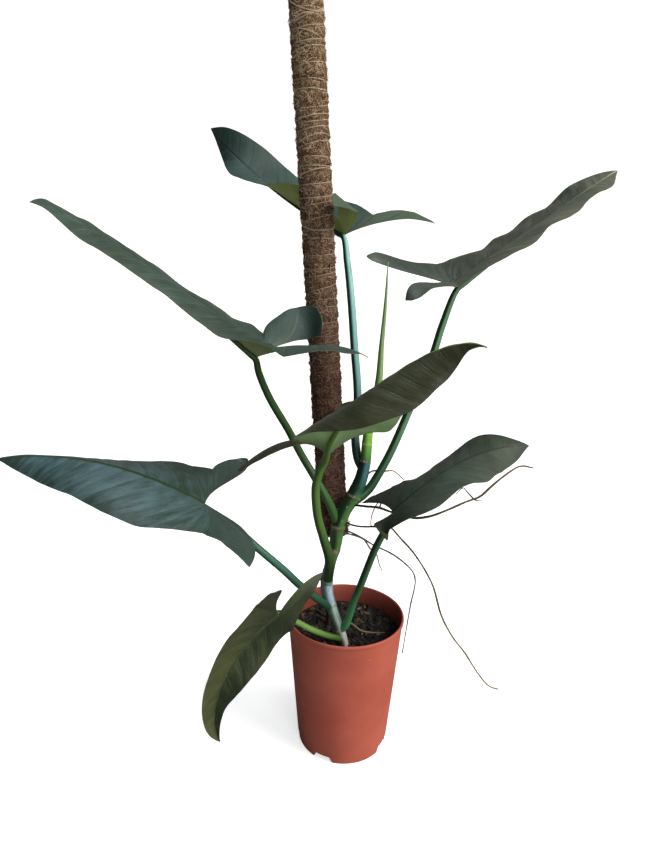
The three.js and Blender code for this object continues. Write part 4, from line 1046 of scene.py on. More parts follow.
def lobe_edge(half, outer, share):
    """One edge of the lobe, flat: how far back and out it is at a share of its length."""
    start = np.array([0.0, half["widths"][0] if outer else 0.0])
    end = np.array([half["lobe_back"], half["lobe_out"]], dtype=float)
    along = end - start
    sideways = np.array([-along[1], along[0]]) if outer else np.array([along[1], -along[0]])
    if outer and sideways[1] < 0:
        sideways = -sideways
    bulge = sideways * half["outer_bulge" if outer else "sinus_bulge"] * 4 / 3
    pointed, rounded = start + along * 2 / 3 + bulge, end + sideways * ROUND_END
    second = pointed + (rounded - pointed) * half["blunt"]
    t = np.asarray(share)[..., None]
    return ((1 - t) ** 3 * start + 3 * (1 - t) ** 2 * t * (start + along / 3 + bulge)
            + 3 * (1 - t) * t ** 2 * second + t ** 3 * end)


def lobe_points(leaf, half, turn, flat, share, column):
    """The lobe of a half, bent down and twisted more and more towards its tip."""
    back, out = flat[..., 0], flat[..., 1]
    point, forward, up, across = midrib_frame(leaf, np.zeros_like(out))
    twist = half["lobe_twist"] * share
    angle = np.radians(half["folds"][0] + twist + half["cup"] * out / (2 * half["widths"][1]))
    droop = np.radians(half["lobe_droop"] * share)
    outer = smooth_value(LOBE_STATIONS, [half["lifts"][0], *half["outer_lifts"]], share)
    sinus = smooth_value(LOBE_STATIONS, [0, *half["sinus_lifts"], half["outer_lifts"][2]], share)
    wave = crinkle(leaf, half, -share) * (column ** 2 + 0.5 * (1 - column) ** 2 * share)
    lift = (-back * np.sin(droop) + out * np.sin(angle) + wave
            + column ** (2 - share) * outer + (1 - column) ** (2 - share) * sinus)
    return (point - forward * (back * np.cos(droop))[..., None] + up * lift[..., None]
            + across * (turn * out * np.cos(angle))[..., None])


def vein_places(forward, out, wide):
    """Side veins leave the midrib at even steps and bend towards the tip, and those of the lobe fan
    out from the stalk. A place's number is whole on a vein; the second result is the veins' gap."""
    bend = VEIN_BEND * out ** 2 / wide
    start = forward - VEIN_LEAN * out - bend
    turned = np.arctan2(out, forward - bend) - math.atan2(1, VEIN_LEAN)
    reach = np.hypot(forward, out)
    number = np.where(start > 0, start / VEIN_SPACING, -turned / FAN_STEP)
    widest = VEIN_SPACING * VEIN_GAP_SHARE
    gap = np.where(start > 0, widest, np.minimum(reach * FAN_STEP, widest))
    return number, gap


def half_blade(leaf, half, turn):
    """One half's middle surface: rows of points from the tip to the junction and on into the lobe,
    each with the layers that the relief and the skins are drawn from."""
    length = np.linalg.norm(np.diff(midrib_frame(leaf, np.linspace(0, 1, 40))[0], axis=0), axis=1).sum()
    # Columns lie closer beside the midrib
    steps = np.linspace(0, 1, COLUMNS + 1)
    column = 0.35 * steps + 0.65 * steps ** 1.5
    along = (1 - np.linspace(0, 1, MAIN_ROWS + 1) ** 0.9)[:, None] * np.ones(COLUMNS + 1)
    wide = smooth_value(WIDTH_STATIONS, [*half["widths"], 0], along)
    out = wide * column
    main = main_points(leaf, half, turn, along, out, column)
    share = (np.arange(1, LOBE_ROWS + 1) / LOBE_ROWS)[:, None] * np.ones(COLUMNS + 1)
    inner, outer = lobe_edge(half, False, share), lobe_edge(half, True, share)
    flat = inner + (outer - inner) * column[None, :, None]
    lobe = lobe_points(leaf, half, turn, flat, share, column)
    forward = np.concatenate([along * length, -flat[..., 0]])
    aside = np.concatenate([out, flat[..., 1]])
    number, gap = vein_places(forward, aside, half["widths"][1])
    # In the lobe both edges are margins, and the distance to the margin is that to the nearer one
    width_there = np.linalg.norm(outer - inner, axis=-1)
    margin = np.concatenate([wide * (1 - column) * np.clip((1 - along) * 12, 0, 1), np.minimum(
        width_there * (1 - column), width_there * column + SINUS_MARGIN * (1 - share) ** 2)])
    return np.concatenate([main, lobe]), {
        "vein": number, "gap": gap, "aside": aside, "margin": margin,
        "along": np.concatenate([along, -share]), "half": turn * np.clip(aside / 6, 0, 1)}


def blade_mesh(leaf):
    """A closed blade: upper face, under face and margin, with veins sunk in and puckered between."""
    points, quads, known = [], [], {}
    layers = {"vein": [], "gap": [], "aside": [], "margin": [], "along": [], "half": []}
    for half, turn in ((leaf["right"], 1), (leaf["left"], -1)):
        places, values = half_blade(leaf, half, turn)
        rows, columns = places.shape[:2]
        index = np.zeros((rows, columns), dtype=int)
        for r in range(rows):
            for c in range(columns):
                key = tuple(np.round(places[r, c], 3))
                if key not in known:
                    known[key] = len(points)
                    points.append(places[r, c])
                    for name, value in values.items():
                        layers[name].append(value[r, c])
                index[r, c] = known[key]
        for r in range(rows - 1):
            for c in range(columns - 1):
                quad = [index[r, c], index[r + 1, c], index[r + 1, c + 1], index[r, c + 1]]
                quad = quad if turn > 0 else quad[::-1]
                quad = [v for k, v in enumerate(quad) if v not in quad[:k]]
                if len(quad) > 2:
                    quads.append(quad)
    points = np.array(points)
    layers = {name: np.array(values) for name, values in layers.items()}
    normals = np.zeros_like(points)
    for quad in quads:
        a, b, c = points[quad[0]], points[quad[1]], points[quad[-1]]
        normals[quad] += np.cross(b - a, c - a)
    normals /= np.maximum(np.linalg.norm(normals, axis=1)[:, None], 1e-9)
    off_vein = np.abs(layers["vein"] - np.round(layers["vein"])) * layers["gap"]
    calm = np.clip(layers["margin"] / FLAT_MARGIN, 0, 1)
    relief = calm * (QUILT_HEIGHT * (1 - np.exp(-(off_vein / QUILT_WIDTH) ** 2)) - GROOVE)
    rib_width = RIB_AT_TIP + RIB_GAIN * (1 - layers["along"])
    on_rib = np.exp(-(layers["aside"] / rib_width) ** 2) * (layers["along"] >= 0)
    relief -= RIB_GROOVE * on_rib
    fuller = np.clip(layers["margin"] / THIN_MARGIN, 0, 1)
    thick = MARGIN_THICKNESS + (BLADE_THICKNESS - MARGIN_THICKNESS) * fuller
    upper = points + normals * (relief + thick / 2)[:, None]
    lower = points + normals * (relief - thick / 2)[:, None]
    count = len(points)
    open_edges = {}
    for quad in quads:
        for here, there in zip(quad, quad[1:] + quad[:1]):
            if (there, here) in open_edges:
                del open_edges[(there, here)]
            else:
                open_edges[(here, there)] = True
    faces = quads + [[v + count for v in reversed(quad)] for quad in quads]
    faces += [[there, here, here + count, there + count] for here, there in open_edges]
    picks = [0] * len(quads) + [1] * len(quads) + [2] * len(open_edges)
    stored = {name: np.tile(values, 2) for name, values in layers.items()}
    return np.vstack([upper, lower]), faces, picks, stored


def vein_mask(tree, width, finer=1.0):
    """1 on a side vein and 0 away from it, fading out towards the margin. Finer veins run between the
    main ones as many times closer."""
    number = add(tree, "ShaderNodeAttribute", {"attribute_name": "vein"}).outputs["Fac"]
    gap = add(tree, "ShaderNodeAttribute", {"attribute_name": "gap"}).outputs["Fac"]
    margin = add(tree, "ShaderNodeAttribute", {"attribute_name": "margin"}).outputs["Fac"]
    closer = add(tree, "ShaderNodeMath", {"operation": "MULTIPLY"}, {0: number, 1: finer}).outputs[0]
    share = add(tree, "ShaderNodeMath", {"operation": "PINGPONG"}, {0: closer, 1: 0.5}).outputs[0]
    distance = add(tree, "ShaderNodeMath", {"operation": "MULTIPLY"}, {0: share, 1: gap}).outputs[0]
    line = add(tree, "ShaderNodeMapRange", {"interpolation_type": "SMOOTHSTEP"}, {
        "Value": distance, "From Min": 0.2 * width * finer, "From Max": width * finer,
        "To Min": 1.0, "To Max": 0.0})
    inside = add(tree, "ShaderNodeMapRange", inputs={
        "Value": margin, "From Min": 1.0, "From Max": 18.0, "To Min": 0.0, "To Max": 1.0})
    return add(tree, "ShaderNodeMath", {"operation": "MULTIPLY"}, {
        0: line.outputs["Result"], 1: inside.outputs["Result"]}).outputs[0]


def along_veins(tree, across, along):
    """Noise drawn out along the side veins, like the tissue between them."""
    number = add(tree, "ShaderNodeAttribute", {"attribute_name": "vein"}).outputs["Fac"]
    aside = add(tree, "ShaderNodeAttribute", {"attribute_name": "aside"}).outputs["Fac"]
    lay = add(tree, "ShaderNodeCombineXYZ", inputs={"X": number, "Y": aside})
    drawn = add(tree, "ShaderNodeVectorMath", {"operation": "MULTIPLY"}, {
        0: lay.outputs["Vector"], 1: (across, along, 1.0)})
    return add(tree, "ShaderNodeTexNoise", inputs={
        "Vector": drawn.outputs["Vector"], "Scale": 1.0, "Detail": 5.0, "Roughness": 0.6}).outputs["Fac"]


def rib_mask(tree, width):
    """1 on the midrib and 0 beside it."""
    aside = add(tree, "ShaderNodeAttribute", {"attribute_name": "aside"}).outputs["Fac"]
    along = add(tree, "ShaderNodeAttribute", {"attribute_name": "along"}).outputs["Fac"]
    wide = add(tree, "ShaderNodeMapRange", inputs={
        "Value": along, "From Min": 0.0, "From Max": 1.0, "To Min": width, "To Max": 0.2 * width})
    share = add(tree, "ShaderNodeMath", {"operation": "DIVIDE"}, {0: aside, 1: wide.outputs["Result"]})
    edge = add(tree, "ShaderNodeMapRange", {"interpolation_type": "SMOOTHSTEP"}, {
        "Value": share.outputs[0], "From Min": 0.55, "From Max": 1.0, "To Min": 1.0, "To Max": 0.0})
    return edge.outputs["Result"]


# Upper skin: dark green tissue under a film of wax that scatters light to a silver sheen. The film
# lies in clouds 60 mm wide and in streaks along the veins, and veins and midrib show through it.
def silver_skin(name, leaf):
    material, tree, surface = new_material(name)
    place = add(tree, "ShaderNodeTexCoord").outputs["Object"]
    clouds = add(tree, "ShaderNodeTexNoise", inputs={
        "Vector": place, "Scale": 17.0, "Detail": 3.0, "Roughness": 0.55})
    streaks = along_veins(tree, across=2.6, along=0.03)
    half = add(tree, "ShaderNodeAttribute", {"attribute_name": "half"}).outputs["Fac"]
    # Some leaves get a painted reflection of the light above on one half, and are bare of wax towards
    # their margin
    inland = add(tree, "ShaderNodeMapRange", {"interpolation_type": "SMOOTHSTEP"}, {
        "Value": add(tree, "ShaderNodeAttribute", {"attribute_name": "margin"}).outputs["Fac"],
        "From Min": 0.0, "From Max": 30.0, "To Min": -leaf.get("bare_margin", 0.0), "To Max": 0.0})
    shifted = add(tree, "ShaderNodeMath", {"operation": "MULTIPLY_ADD"}, {
        0: half, 1: leaf.get("painted_sheen_half", 0.0), 2: inland.outputs["Result"]})
    spread = add(tree, "ShaderNodeMath", {"operation": "MULTIPLY_ADD"}, {
        0: clouds.outputs["Fac"], 1: 0.5, 2: shifted.outputs[0]})
    sheen_film = add(tree, "ShaderNodeMath", {"operation": "MULTIPLY_ADD"}, {
        0: streaks, 1: 0.5, 2: spread.outputs[0]})
    waxed = add(tree, "ShaderNodeMapRange", inputs={
        "Value": sheen_film.outputs[0], "From Min": 0.4, "From Max": 0.6, "To Min": 0.0, "To Max": 1.0})
    tone = add(tree, "ShaderNodeMix", {"data_type": "RGBA"}, {
        "Factor": waxed.outputs["Result"], "A": linear(leaf["upper"]), "B": linear(leaf["silver"])})
    # The lobe tone mixed in here is painted shade in the lobes, and painted light where it is paler
    lobe_shading = add(tree, "ShaderNodeMapRange", inputs={
        "Value": add(tree, "ShaderNodeAttribute", {"attribute_name": "along"}).outputs["Fac"],
        "From Min": -0.12, "From Max": 0.1, "To Min": 0.75 if "lobe" in leaf else 0.0, "To Max": 0.0})
    lobed = add(tree, "ShaderNodeMix", {"data_type": "RGBA"}, {
        "Factor": lobe_shading.outputs["Result"], "A": tone.outputs["Result"],
        "B": linear(leaf.get("lobe", leaf["upper"]))})
    veins, small_veins = vein_mask(tree, width=1.0), vein_mask(tree, width=0.45, finer=5.0)
    fading = add(tree, "ShaderNodeMapRange", inputs={
        "Value": clouds.outputs["Fac"], "From Min": 0.35, "From Max": 0.65,
        "To Min": 0.4 * leaf.get("vein_share", 0.55), "To Max": 1.3 * leaf.get("vein_share", 0.55)})
    dark = add(tree, "ShaderNodeMath", {"operation": "MULTIPLY_ADD"}, {
        0: small_veins, 1: 0.15, 2: add(tree, "ShaderNodeMath", {"operation": "MULTIPLY"}, {
            0: veins, 1: fading.outputs["Result"]}).outputs[0]})
    veined = add(tree, "ShaderNodeMix", {"data_type": "RGBA", "clamp_factor": True}, {
        "Factor": dark.outputs[0], "A": lobed.outputs["Result"], "B": linear(leaf["vein"])})
    ribbed = add(tree, "ShaderNodeMix", {"data_type": "RGBA"}, {
        "Factor": rib_mask(tree, leaf.get("rib_width", 3.4)), "A": veined.outputs["Result"],
        "B": linear(leaf["rib"])})
    tree.links.new(ribbed.outputs["Result"], surface.inputs["Base Color"])
    matt = leaf.get("matt", 0.0)
    roughness = add(tree, "ShaderNodeMapRange", inputs={
        "Value": sheen_film.outputs[0], "From Min": 0.35, "From Max": 0.65,
        "To Min": 0.3 + matt, "To Max": 0.42 + matt})
    tree.links.new(roughness.outputs["Result"], surface.inputs["Roughness"])
    wrinkles = add(tree, "ShaderNodeMath", {"operation": "MULTIPLY_ADD"}, {
        0: veins, 1: -0.3, 2: add(tree, "ShaderNodeMath", {"operation": "MULTIPLY_ADD"}, {
            0: small_veins, 1: -0.12, 2: along_veins(tree, across=5.0, along=0.14)}).outputs[0]})
    bump = add(tree, "ShaderNodeBump", inputs={
        "Height": wrinkles.outputs[0], "Strength": 0.6, "Distance": 0.0009})
    tree.links.new(bump.outputs["Normal"], surface.inputs["Normal"])
    surface.inputs["IOR"].default_value = 1.5
    surface.inputs["Sheen Weight"].default_value = 0.08
    surface.inputs["Sheen Roughness"].default_value = 0.4
    surface.inputs["Sheen Tint"].default_value = linear("#b4cdd6")
    return material


# Under skin: paler, matt olive tissue in clouds 40 mm wide, with the veins lighter than the rest. Its
# lobes can be darker than the long part, as painted shade.
def under_skin(name, under, lobe_shading):
    material, tree, surface = new_material(name)
    place = add(tree, "ShaderNodeTexCoord").outputs["Object"]
    clouds = add(tree, "ShaderNodeTexNoise", inputs={"Vector": place, "Scale": 26.0, "Detail": 4.0})
    shade = add(tree, "ShaderNodeMapRange", inputs={
        "Value": clouds.outputs["Fac"], "From Min": 0.25, "From Max": 0.75, "To Min": 0.82, "To Max": 1.18})
    # Painted shade in the lobes
    base = add(tree, "ShaderNodeMapRange", inputs={
        "Value": add(tree, "ShaderNodeAttribute", {"attribute_name": "along"}).outputs["Fac"],
        "From Min": -0.02, "From Max": 0.16, "To Min": lobe_shading, "To Max": 1.0})
    value = add(tree, "ShaderNodeMath", {"operation": "MULTIPLY"}, {
        0: shade.outputs["Result"], 1: base.outputs["Result"]})
    tone = add(tree, "ShaderNodeHueSaturation", inputs={
        "Color": linear(under), "Value": value.outputs[0]})
    light = add(tree, "ShaderNodeMath", {"operation": "MULTIPLY"}, {
        0: vein_mask(tree, width=0.8), 1: 0.25})
    veined = add(tree, "ShaderNodeMix", {"data_type": "RGBA"}, {
        "Factor": light.outputs[0], "A": tone.outputs["Color"], "B": linear("#8d9a68")})
    tree.links.new(veined.outputs["Result"], surface.inputs["Base Color"])
    surface.inputs["Roughness"].default_value = 0.6
    surface.inputs["IOR"].default_value = 1.42
    return material


# Leaf margin: a thin line, pale where light comes through it, in patches about 11 mm long.
def pale_margin(name, edge):
    material, tree, surface = new_material(name)
    place = add(tree, "ShaderNodeTexCoord").outputs["Object"]
    clouds = add(tree, "ShaderNodeTexNoise", inputs={"Vector": place, "Scale": 90.0, "Detail": 2.0})
    colour = add(tree, "ShaderNodeValToRGB", inputs={"Fac": clouds.outputs["Fac"]},
                 stops=[(0.3, "#434d36"), (0.7, edge)])
    tree.links.new(colour.outputs["Color"], surface.inputs["Base Color"])
    surface.inputs["Roughness"].default_value = 0.5
    return material


# Leaf stalk: smooth waxy tissue whose green changes from the sheath at its foot to the blade, with
# faint streaks 50 mm long and a pale painted highlight on the side that gets the light.
def waxy_stalk(name, leaf):
    material, tree, surface = new_material(name)
    lay = add(tree, "ShaderNodeAttribute", {"attribute_name": "grain"})
    along = add(tree, "ShaderNodeAttribute", {"attribute_name": "along"})
    drawn = add(tree, "ShaderNodeMapping", inputs={
        "Vector": lay.outputs["Vector"], "Scale": (0.7, 0.7, 0.02)})
    streaks = add(tree, "ShaderNodeTexNoise", inputs={
        "Vector": drawn.outputs["Vector"], "Scale": 1.0, "Detail": 4.0})
    foot, middle, top = leaf["stalk_colours"]
    green = add(tree, "ShaderNodeValToRGB", inputs={"Fac": along.outputs["Fac"]},
                stops=[(0.02, foot), (0.62, top), (0.2, middle)])
    shade = add(tree, "ShaderNodeMapRange", inputs={
        "Value": streaks.outputs["Fac"], "From Min": 0.3, "From Max": 0.7, "To Min": 0.8, "To Max": 1.2})
    tone = add(tree, "ShaderNodeHueSaturation", inputs={
        "Color": green.outputs["Color"], "Value": shade.outputs["Result"]})
    # A painted highlight on the side that faces the window, fading out near the stalk's foot
    facing = add(tree, "ShaderNodeAttribute", {"attribute_name": "lit"})
    sheen_film = add(tree, "ShaderNodeMapRange", {"interpolation_type": "SMOOTHSTEP"}, {
        "Value": facing.outputs["Fac"], "From Min": 0.42, "From Max": 0.88,
        "To Min": 0.0, "To Max": leaf["highlight_share"]})
    grown_up = add(tree, "ShaderNodeMapRange", inputs={
        "Value": along.outputs["Fac"], "From Min": 0.05, "From Max": 0.22, "To Min": 0.0, "To Max": 1.0})
    painted_highlight = add(tree, "ShaderNodeMath", {"operation": "MULTIPLY"}, {
        0: sheen_film.outputs["Result"], 1: grown_up.outputs["Result"]})
    highlighted = add(tree, "ShaderNodeMix", {"data_type": "RGBA"}, {
        "Factor": painted_highlight.outputs[0], "A": tone.outputs["Color"], "B": linear(leaf["painted_highlight"])})
    # The foot clasps the stem up to a thin corky seam, and below the seam it has the stem's grey-green
    # with the same painted highlight
    seam = leaf.get("seam", 1.0)
    run = add(tree, "ShaderNodeSeparateXYZ", inputs={"Vector": lay.outputs["Vector"]}).outputs["Z"]
    foot_silver = add(tree, "ShaderNodeMix", {"data_type": "RGBA"}, {
        "Factor": sheen_film.outputs["Result"], "A": linear("#4c605c"), "B": linear("#b0c9da")})
    clasping = add(tree, "ShaderNodeMapRange", inputs={
        "Value": run, "From Min": seam - 0.3, "From Max": seam + 0.3, "To Min": 1.0, "To Max": 0.0})
    footed = add(tree, "ShaderNodeMix", {"data_type": "RGBA"}, {
        "Factor": clasping.outputs["Result"], "A": highlighted.outputs["Result"],
        "B": foot_silver.outputs["Result"]})
    on_seam = add(tree, "ShaderNodeMath", {"operation": "COMPARE"}, {0: run, 1: seam, 2: 0.9})
    seamed = add(tree, "ShaderNodeMix", {"data_type": "RGBA"}, {
        "Factor": on_seam.outputs[0], "A": footed.outputs["Result"], "B": linear("#8f805c")})
    tree.links.new(seamed.outputs["Result"], surface.inputs["Base Color"])
    bump = add(tree, "ShaderNodeBump", inputs={
        "Height": streaks.outputs["Fac"], "Strength": 0.2, "Distance": 0.0005})
    tree.links.new(bump.outputs["Normal"], surface.inputs["Normal"])
    surface.inputs["Roughness"].default_value = 0.38
    surface.inputs["IOR"].default_value = 1.38
    surface.inputs["Coat Weight"].default_value = 0.12
    surface.inputs["Coat Roughness"].default_value = 0.2
    return material


RIB_STATIONS = [0.04, 0.12, 0.25, 0.42, 0.62, 0.8, 0.93]
RIB_RADII = [0.85, 0.72, 0.56, 0.42, 0.3, 0.2, 0.1]
RIB_BELOW = 0.15


def stalk_with_rib(leaf):
    """The stalk's path and radii, carried on below the blade as its rib."""
    top, first = leaf["stalk_radii"][-1], leaf.get("rib_starts", 0)
    point, forward, up, across = midrib_frame(leaf, np.array([0.0] + RIB_STATIONS)[first:])
    radii = top * np.array([0.95] + RIB_RADII)[first:]
    below = point - up * (radii + RIB_BELOW)[:, None]
    return list(leaf["stalk"][:-1]) + list(below), list(leaf["stalk_radii"][:-1]) + list(radii)


for letter, leaf in LEAVES.items():
    stalk_places, stalk_radii = stalk_with_rib(leaf)
    points, faces, layers = tube(stalk_places, stalk_radii, sides=24, spacing=2.0)
    make_piece(f"leaf_stalk_{letter}", points, faces, [waxy_stalk(f"waxy_stalk_{letter}", leaf)],
               [f"stalk_{letter}"], layers)
    points, faces, picks, layers = blade_mesh(leaf)
    skins = [silver_skin(f"silver_skin_{letter}", leaf),
             under_skin(f"under_skin_{letter}", leaf["under"], leaf.get("under_lobe_shade", 1.0)),
             pale_margin(f"pale_margin_{letter}", leaf.get("edge", "#6a7456"))]
    make_piece(f"leaf_blade_{letter}", points, faces, skins, [f"blade_{letter}"], layers, picks,
               crease=70)

# Newest leaf: a blade still rolled into a spear, pale green, with the roll's edge as a line that
# winds up it. It stands in a smooth bright green sheath with a pale ring.
SHEATH_PATH = [[19.1, -20.9, 450.6], [20, -20, 470], [21, -19, 487]]
SHEATH_RADII = [7.2, 6.9, 6.3]
SPEAR_PATH = [[21.1, -18.9, 486], [23, -16, 511], [32, -12, 546], [35, -6, 602], [38, -3, 659], [39, 0, 705]]
SPEAR_RADII = [5.6, 5.8, 5.2, 3.2, 1.9, 0.6]
SHEATH_RING = 24.0
SHEATH_RING_HEIGHT = 0.07
# Where the pale ring lies as a share of the length; the spear's is past its end, so it shows none
RING_PLACE = 0.62
NO_RING = 1.4
ROLL_STEP = 0.16
ROLL_LIP = 0.06
ROLL_START = 0.35
ROLL_TURN_LENGTH = 330


def sheath_swell(run, angle):
    return SHEATH_RING_HEIGHT * math.exp(-(run - SHEATH_RING) ** 2)


def rolled_edge(run, angle):
    """The roll's free edge: a small step that winds once round the spear."""
    turn = (angle / (2 * math.pi) + ROLL_START + run / ROLL_TURN_LENGTH) % 1
    return ROLL_STEP * (turn - 0.5) if turn > ROLL_LIP else -ROLL_STEP / 2 + 0.5 * (ROLL_LIP - turn)


# Young tissue: soft bright green, smooth and faintly glossy, with lines 1 mm wide along it. Its colour
# has painted light on the window's side and painted shade away from it.
def young_tissue(name, low, high, ring):
    material, tree, surface = new_material(name)
    lay = add(tree, "ShaderNodeAttribute", {"attribute_name": "grain"})
    along = add(tree, "ShaderNodeAttribute", {"attribute_name": "along"})
    drawn = add(tree, "ShaderNodeMapping", inputs={
        "Vector": lay.outputs["Vector"], "Scale": (1.0, 1.0, 0.03)})
    lines = add(tree, "ShaderNodeTexNoise", inputs={
        "Vector": drawn.outputs["Vector"], "Scale": 1.0, "Detail": 4.0})
    green = add(tree, "ShaderNodeValToRGB", inputs={"Fac": along.outputs["Fac"]},
                stops=[(0.0, low), (1.0, high)])
    tone = add(tree, "ShaderNodeHueSaturation", inputs={
        "Color": green.outputs["Color"], "Value": add(tree, "ShaderNodeMapRange", inputs={
            "Value": lines.outputs["Fac"], "From Min": 0.3, "From Max": 0.7, "To Min": 0.86, "To Max": 1.14,
        }).outputs["Result"]})
    # Painted light on the window's side and painted shade on the far side
    painted_shading = add(tree, "ShaderNodeMapRange", {"interpolation_type": "SMOOTHSTEP"}, {
        "Value": add(tree, "ShaderNodeAttribute", {"attribute_name": "lit"}).outputs["Fac"],
        "From Min": 0.1, "From Max": 0.95, "To Min": 0.55, "To Max": 1.2})
    rounded = add(tree, "ShaderNodeHueSaturation", inputs={
        "Color": tone.outputs["Color"], "Value": painted_shading.outputs["Result"]})
    pale = add(tree, "ShaderNodeValToRGB", inputs={"Fac": along.outputs["Fac"]},
               stops=[(ring - 0.04, 0.0), (ring + 0.04, 0.0), (ring, 0.8)])
    colour = add(tree, "ShaderNodeMix", {"data_type": "RGBA"}, {
        "Factor": pale.outputs["Color"], "A": rounded.outputs["Color"], "B": linear("#b9cf7c")})
    tree.links.new(colour.outputs["Result"], surface.inputs["Base Color"])
    surface.inputs["Roughness"].default_value = 0.38
    surface.inputs["Coat Weight"].default_value = 0.15
    return material


points, faces, layers = tube(SHEATH_PATH, SHEATH_RADII, sides=40, spacing=0.8, swell=sheath_swell)
make_piece("young_sheath", points, faces,
           [young_tissue("young_sheath_tissue", "#336a30", "#78a83a", RING_PLACE)],
           ["new_leaf_sheath"], layers)
points, faces, layers = tube(SPEAR_PATH, SPEAR_RADII, sides=36, spacing=2.0, swell=rolled_edge)
make_piece("rolled_spear", points, faces,
           [young_tissue("rolled_leaf_tissue", "#688b3d", "#809b69", NO_RING)],
           ["rolled_new_leaf"], layers)

# Aerial roots: thin tough roots from the stem's joints that hang or reach out in the air, dark brown
# when dry and olive where they are young. The longest has three branches, and the last lies low over
# the soil.
ROOTS = [
    dict(path=[(-3, -26, 386), (6, -32, 390), (20, -42, 393), (37, -48, 394), (52, -46, 388), (82, -56, 384),
               (101, -60, 388), (121, -60, 396), (149, -52, 406), (169, -46, 412), (182, -42, 423),
               (199, -36, 436), (222, -30, 449), (240, -26, 446)], radius=1.7, old="#15100c", young="#5f4d30",
         twigs=[[(160, -49, 409), (150, -45, 419), (146, -45, 423), (137, -45, 414)],
                [(160, -49, 409), (166, -44, 405), (172, -44, 405)],
                [(38, -47, 394), (40, -42, 399), (36, -40, 397), (30, -40, 384), (28, -40, 373),
                 (29, -40, 364), (39, -40, 362)]]),
    dict(path=[(-12, -28, 366), (8, -38, 363), (30, -46, 366), (48, -46, 369), (69, -50, 350), (88, -50, 328),
               (114, -48, 284), (130, -50, 236), (147, -52, 205), (165, -54, 182), (186, -56, 150),
               (203, -58, 131), (215, -60, 128)], radius=1.3, old="#2c2417", young="#77683f"),
    dict(path=[(-15, -28, 352), (-2, -18, 346), (16, -12, 335), (34, -6, 321), (68, 4, 299), (95, 10, 272),
               (101, 14, 254), (97, 18, 212), (94, 20, 177), (90, 24, 125)],
         radius=1.2, old="#261a16", young="#5b4a40"),
    dict(path=[(-15, -28, 350), (-2, -24, 345), (20, -24, 337), (30, -26, 324), (38, -28, 318),
               (43, -30, 302), (47, -30, 293)], radius=1.2, old="#4a4540", young="#8b8a84"),
    dict(path=[(12, -24, 420), (29, -10, 431), (46, 2, 427), (60, 10, 425), (77, 18, 409)],
         radius=1.2, old="#2a1f14", young="#96824c"),
    dict(path=[(-9, -38, 203), (5, -26, 207), (21, -26, 196), (38, -22, 190), (56, -20, 189)],
         radius=1.3, old="#5d5a38", young="#6c6238"),
]
ROOT_TAPER = [1, 1, 1, 0.85, 0.6]
TWIG_RADII = [0.95, 0.8, 0.5]


def knobbly(run, angle):
    """Roots swell and thin along their length, with tiny knots."""
    swelling = 0.22 * noise.noise(Vector((run * 0.08, 1.5, 0)))
    return swelling + 0.12 * noise.noise(Vector((run * 0.5, angle * 0.5, 4)))


# Root skin: dry papery tissue, dull, in patches 7 mm long, and darkest in its older parts.
def dry_root(name, old, young):
    material, tree, surface = new_material(name)
    lay = add(tree, "ShaderNodeAttribute", {"attribute_name": "grain"})
    along = add(tree, "ShaderNodeAttribute", {"attribute_name": "along"})
    patches = add(tree, "ShaderNodeTexNoise", inputs={
        "Vector": lay.outputs["Vector"], "Scale": 0.15, "Detail": 3.0})
    shift = add(tree, "ShaderNodeMath", {"operation": "MULTIPLY_ADD"}, {
        0: patches.outputs["Fac"], 1: 0.7, 2: -0.35})
    aged = add(tree, "ShaderNodeMath", {"operation": "ADD"}, {0: along.outputs["Fac"], 1: shift.outputs[0]})
    colour = add(tree, "ShaderNodeValToRGB", inputs={"Fac": aged.outputs[0]},
                 stops=[(0.15, old), (0.85, young)])
    tree.links.new(colour.outputs["Color"], surface.inputs["Base Color"])
    surface.inputs["Roughness"].default_value = 0.7
    return material


for k, root in enumerate(ROOTS, start=1):
    radii = [root["radius"] * share for share in ROOT_TAPER]
    points, faces, layers = tube(root["path"], radii, sides=8, spacing=1.5, swell=knobbly)
    for twig in root.get("twigs", []):
        branch = tube(twig, TWIG_RADII, sides=7, spacing=1.5, swell=knobbly)
        points, faces, layers = joined((points, faces, layers), branch)
    make_piece(f"air_root_{k}", points, faces, [dry_root(f"dry_root_{k}", root["old"], root["young"])],
               [f"aerial_root_{k}"], layers)

# Stage: a pale seamless sweep, a broad soft window light from the right, cool panels in front and
# overhead that give the leaves their silver, a darker room to the left, and the camera at the
# picture's angle.
SWEEP_HALF_WIDTH = 9.0
SWEEP_FRONT = -4.0
SWEEP_BACK = 3.2
SWEEP_BEND = 1.6
SWEEP_TOP = 7.0
BEND_STEPS = 24


# White studio paper: matt. It throws less light back up than it shows, as in a larger, darker room.
def pale_paper():
    material, tree, surface = new_material("pale_paper")
    surface.inputs["Base Color"].default_value = linear("#f6f5f3")
    surface.inputs["Roughness"].default_value = 0.9
    surface.inputs["Specular IOR Level"].default_value = 0.0
    absorbing = add(tree, "ShaderNodeBsdfDiffuse", inputs={"Color": linear("#8f8c88")})
    glow = add(tree, "ShaderNodeEmission", inputs={"Color": linear("#ffffff"), "Strength": 0.6})
    lit = add(tree, "ShaderNodeAddShader", inputs={0: surface.outputs["BSDF"], 1: glow.outputs["Emission"]})
    seen = add(tree, "ShaderNodeLightPath")
    chosen = add(tree, "ShaderNodeMixShader", inputs={
        0: seen.outputs["Is Camera Ray"], 1: absorbing.outputs["BSDF"], 2: lit.outputs["Shader"]})
    tree.links.new(chosen.outputs["Shader"], tree.nodes["Material Output"].inputs["Surface"])
    return material


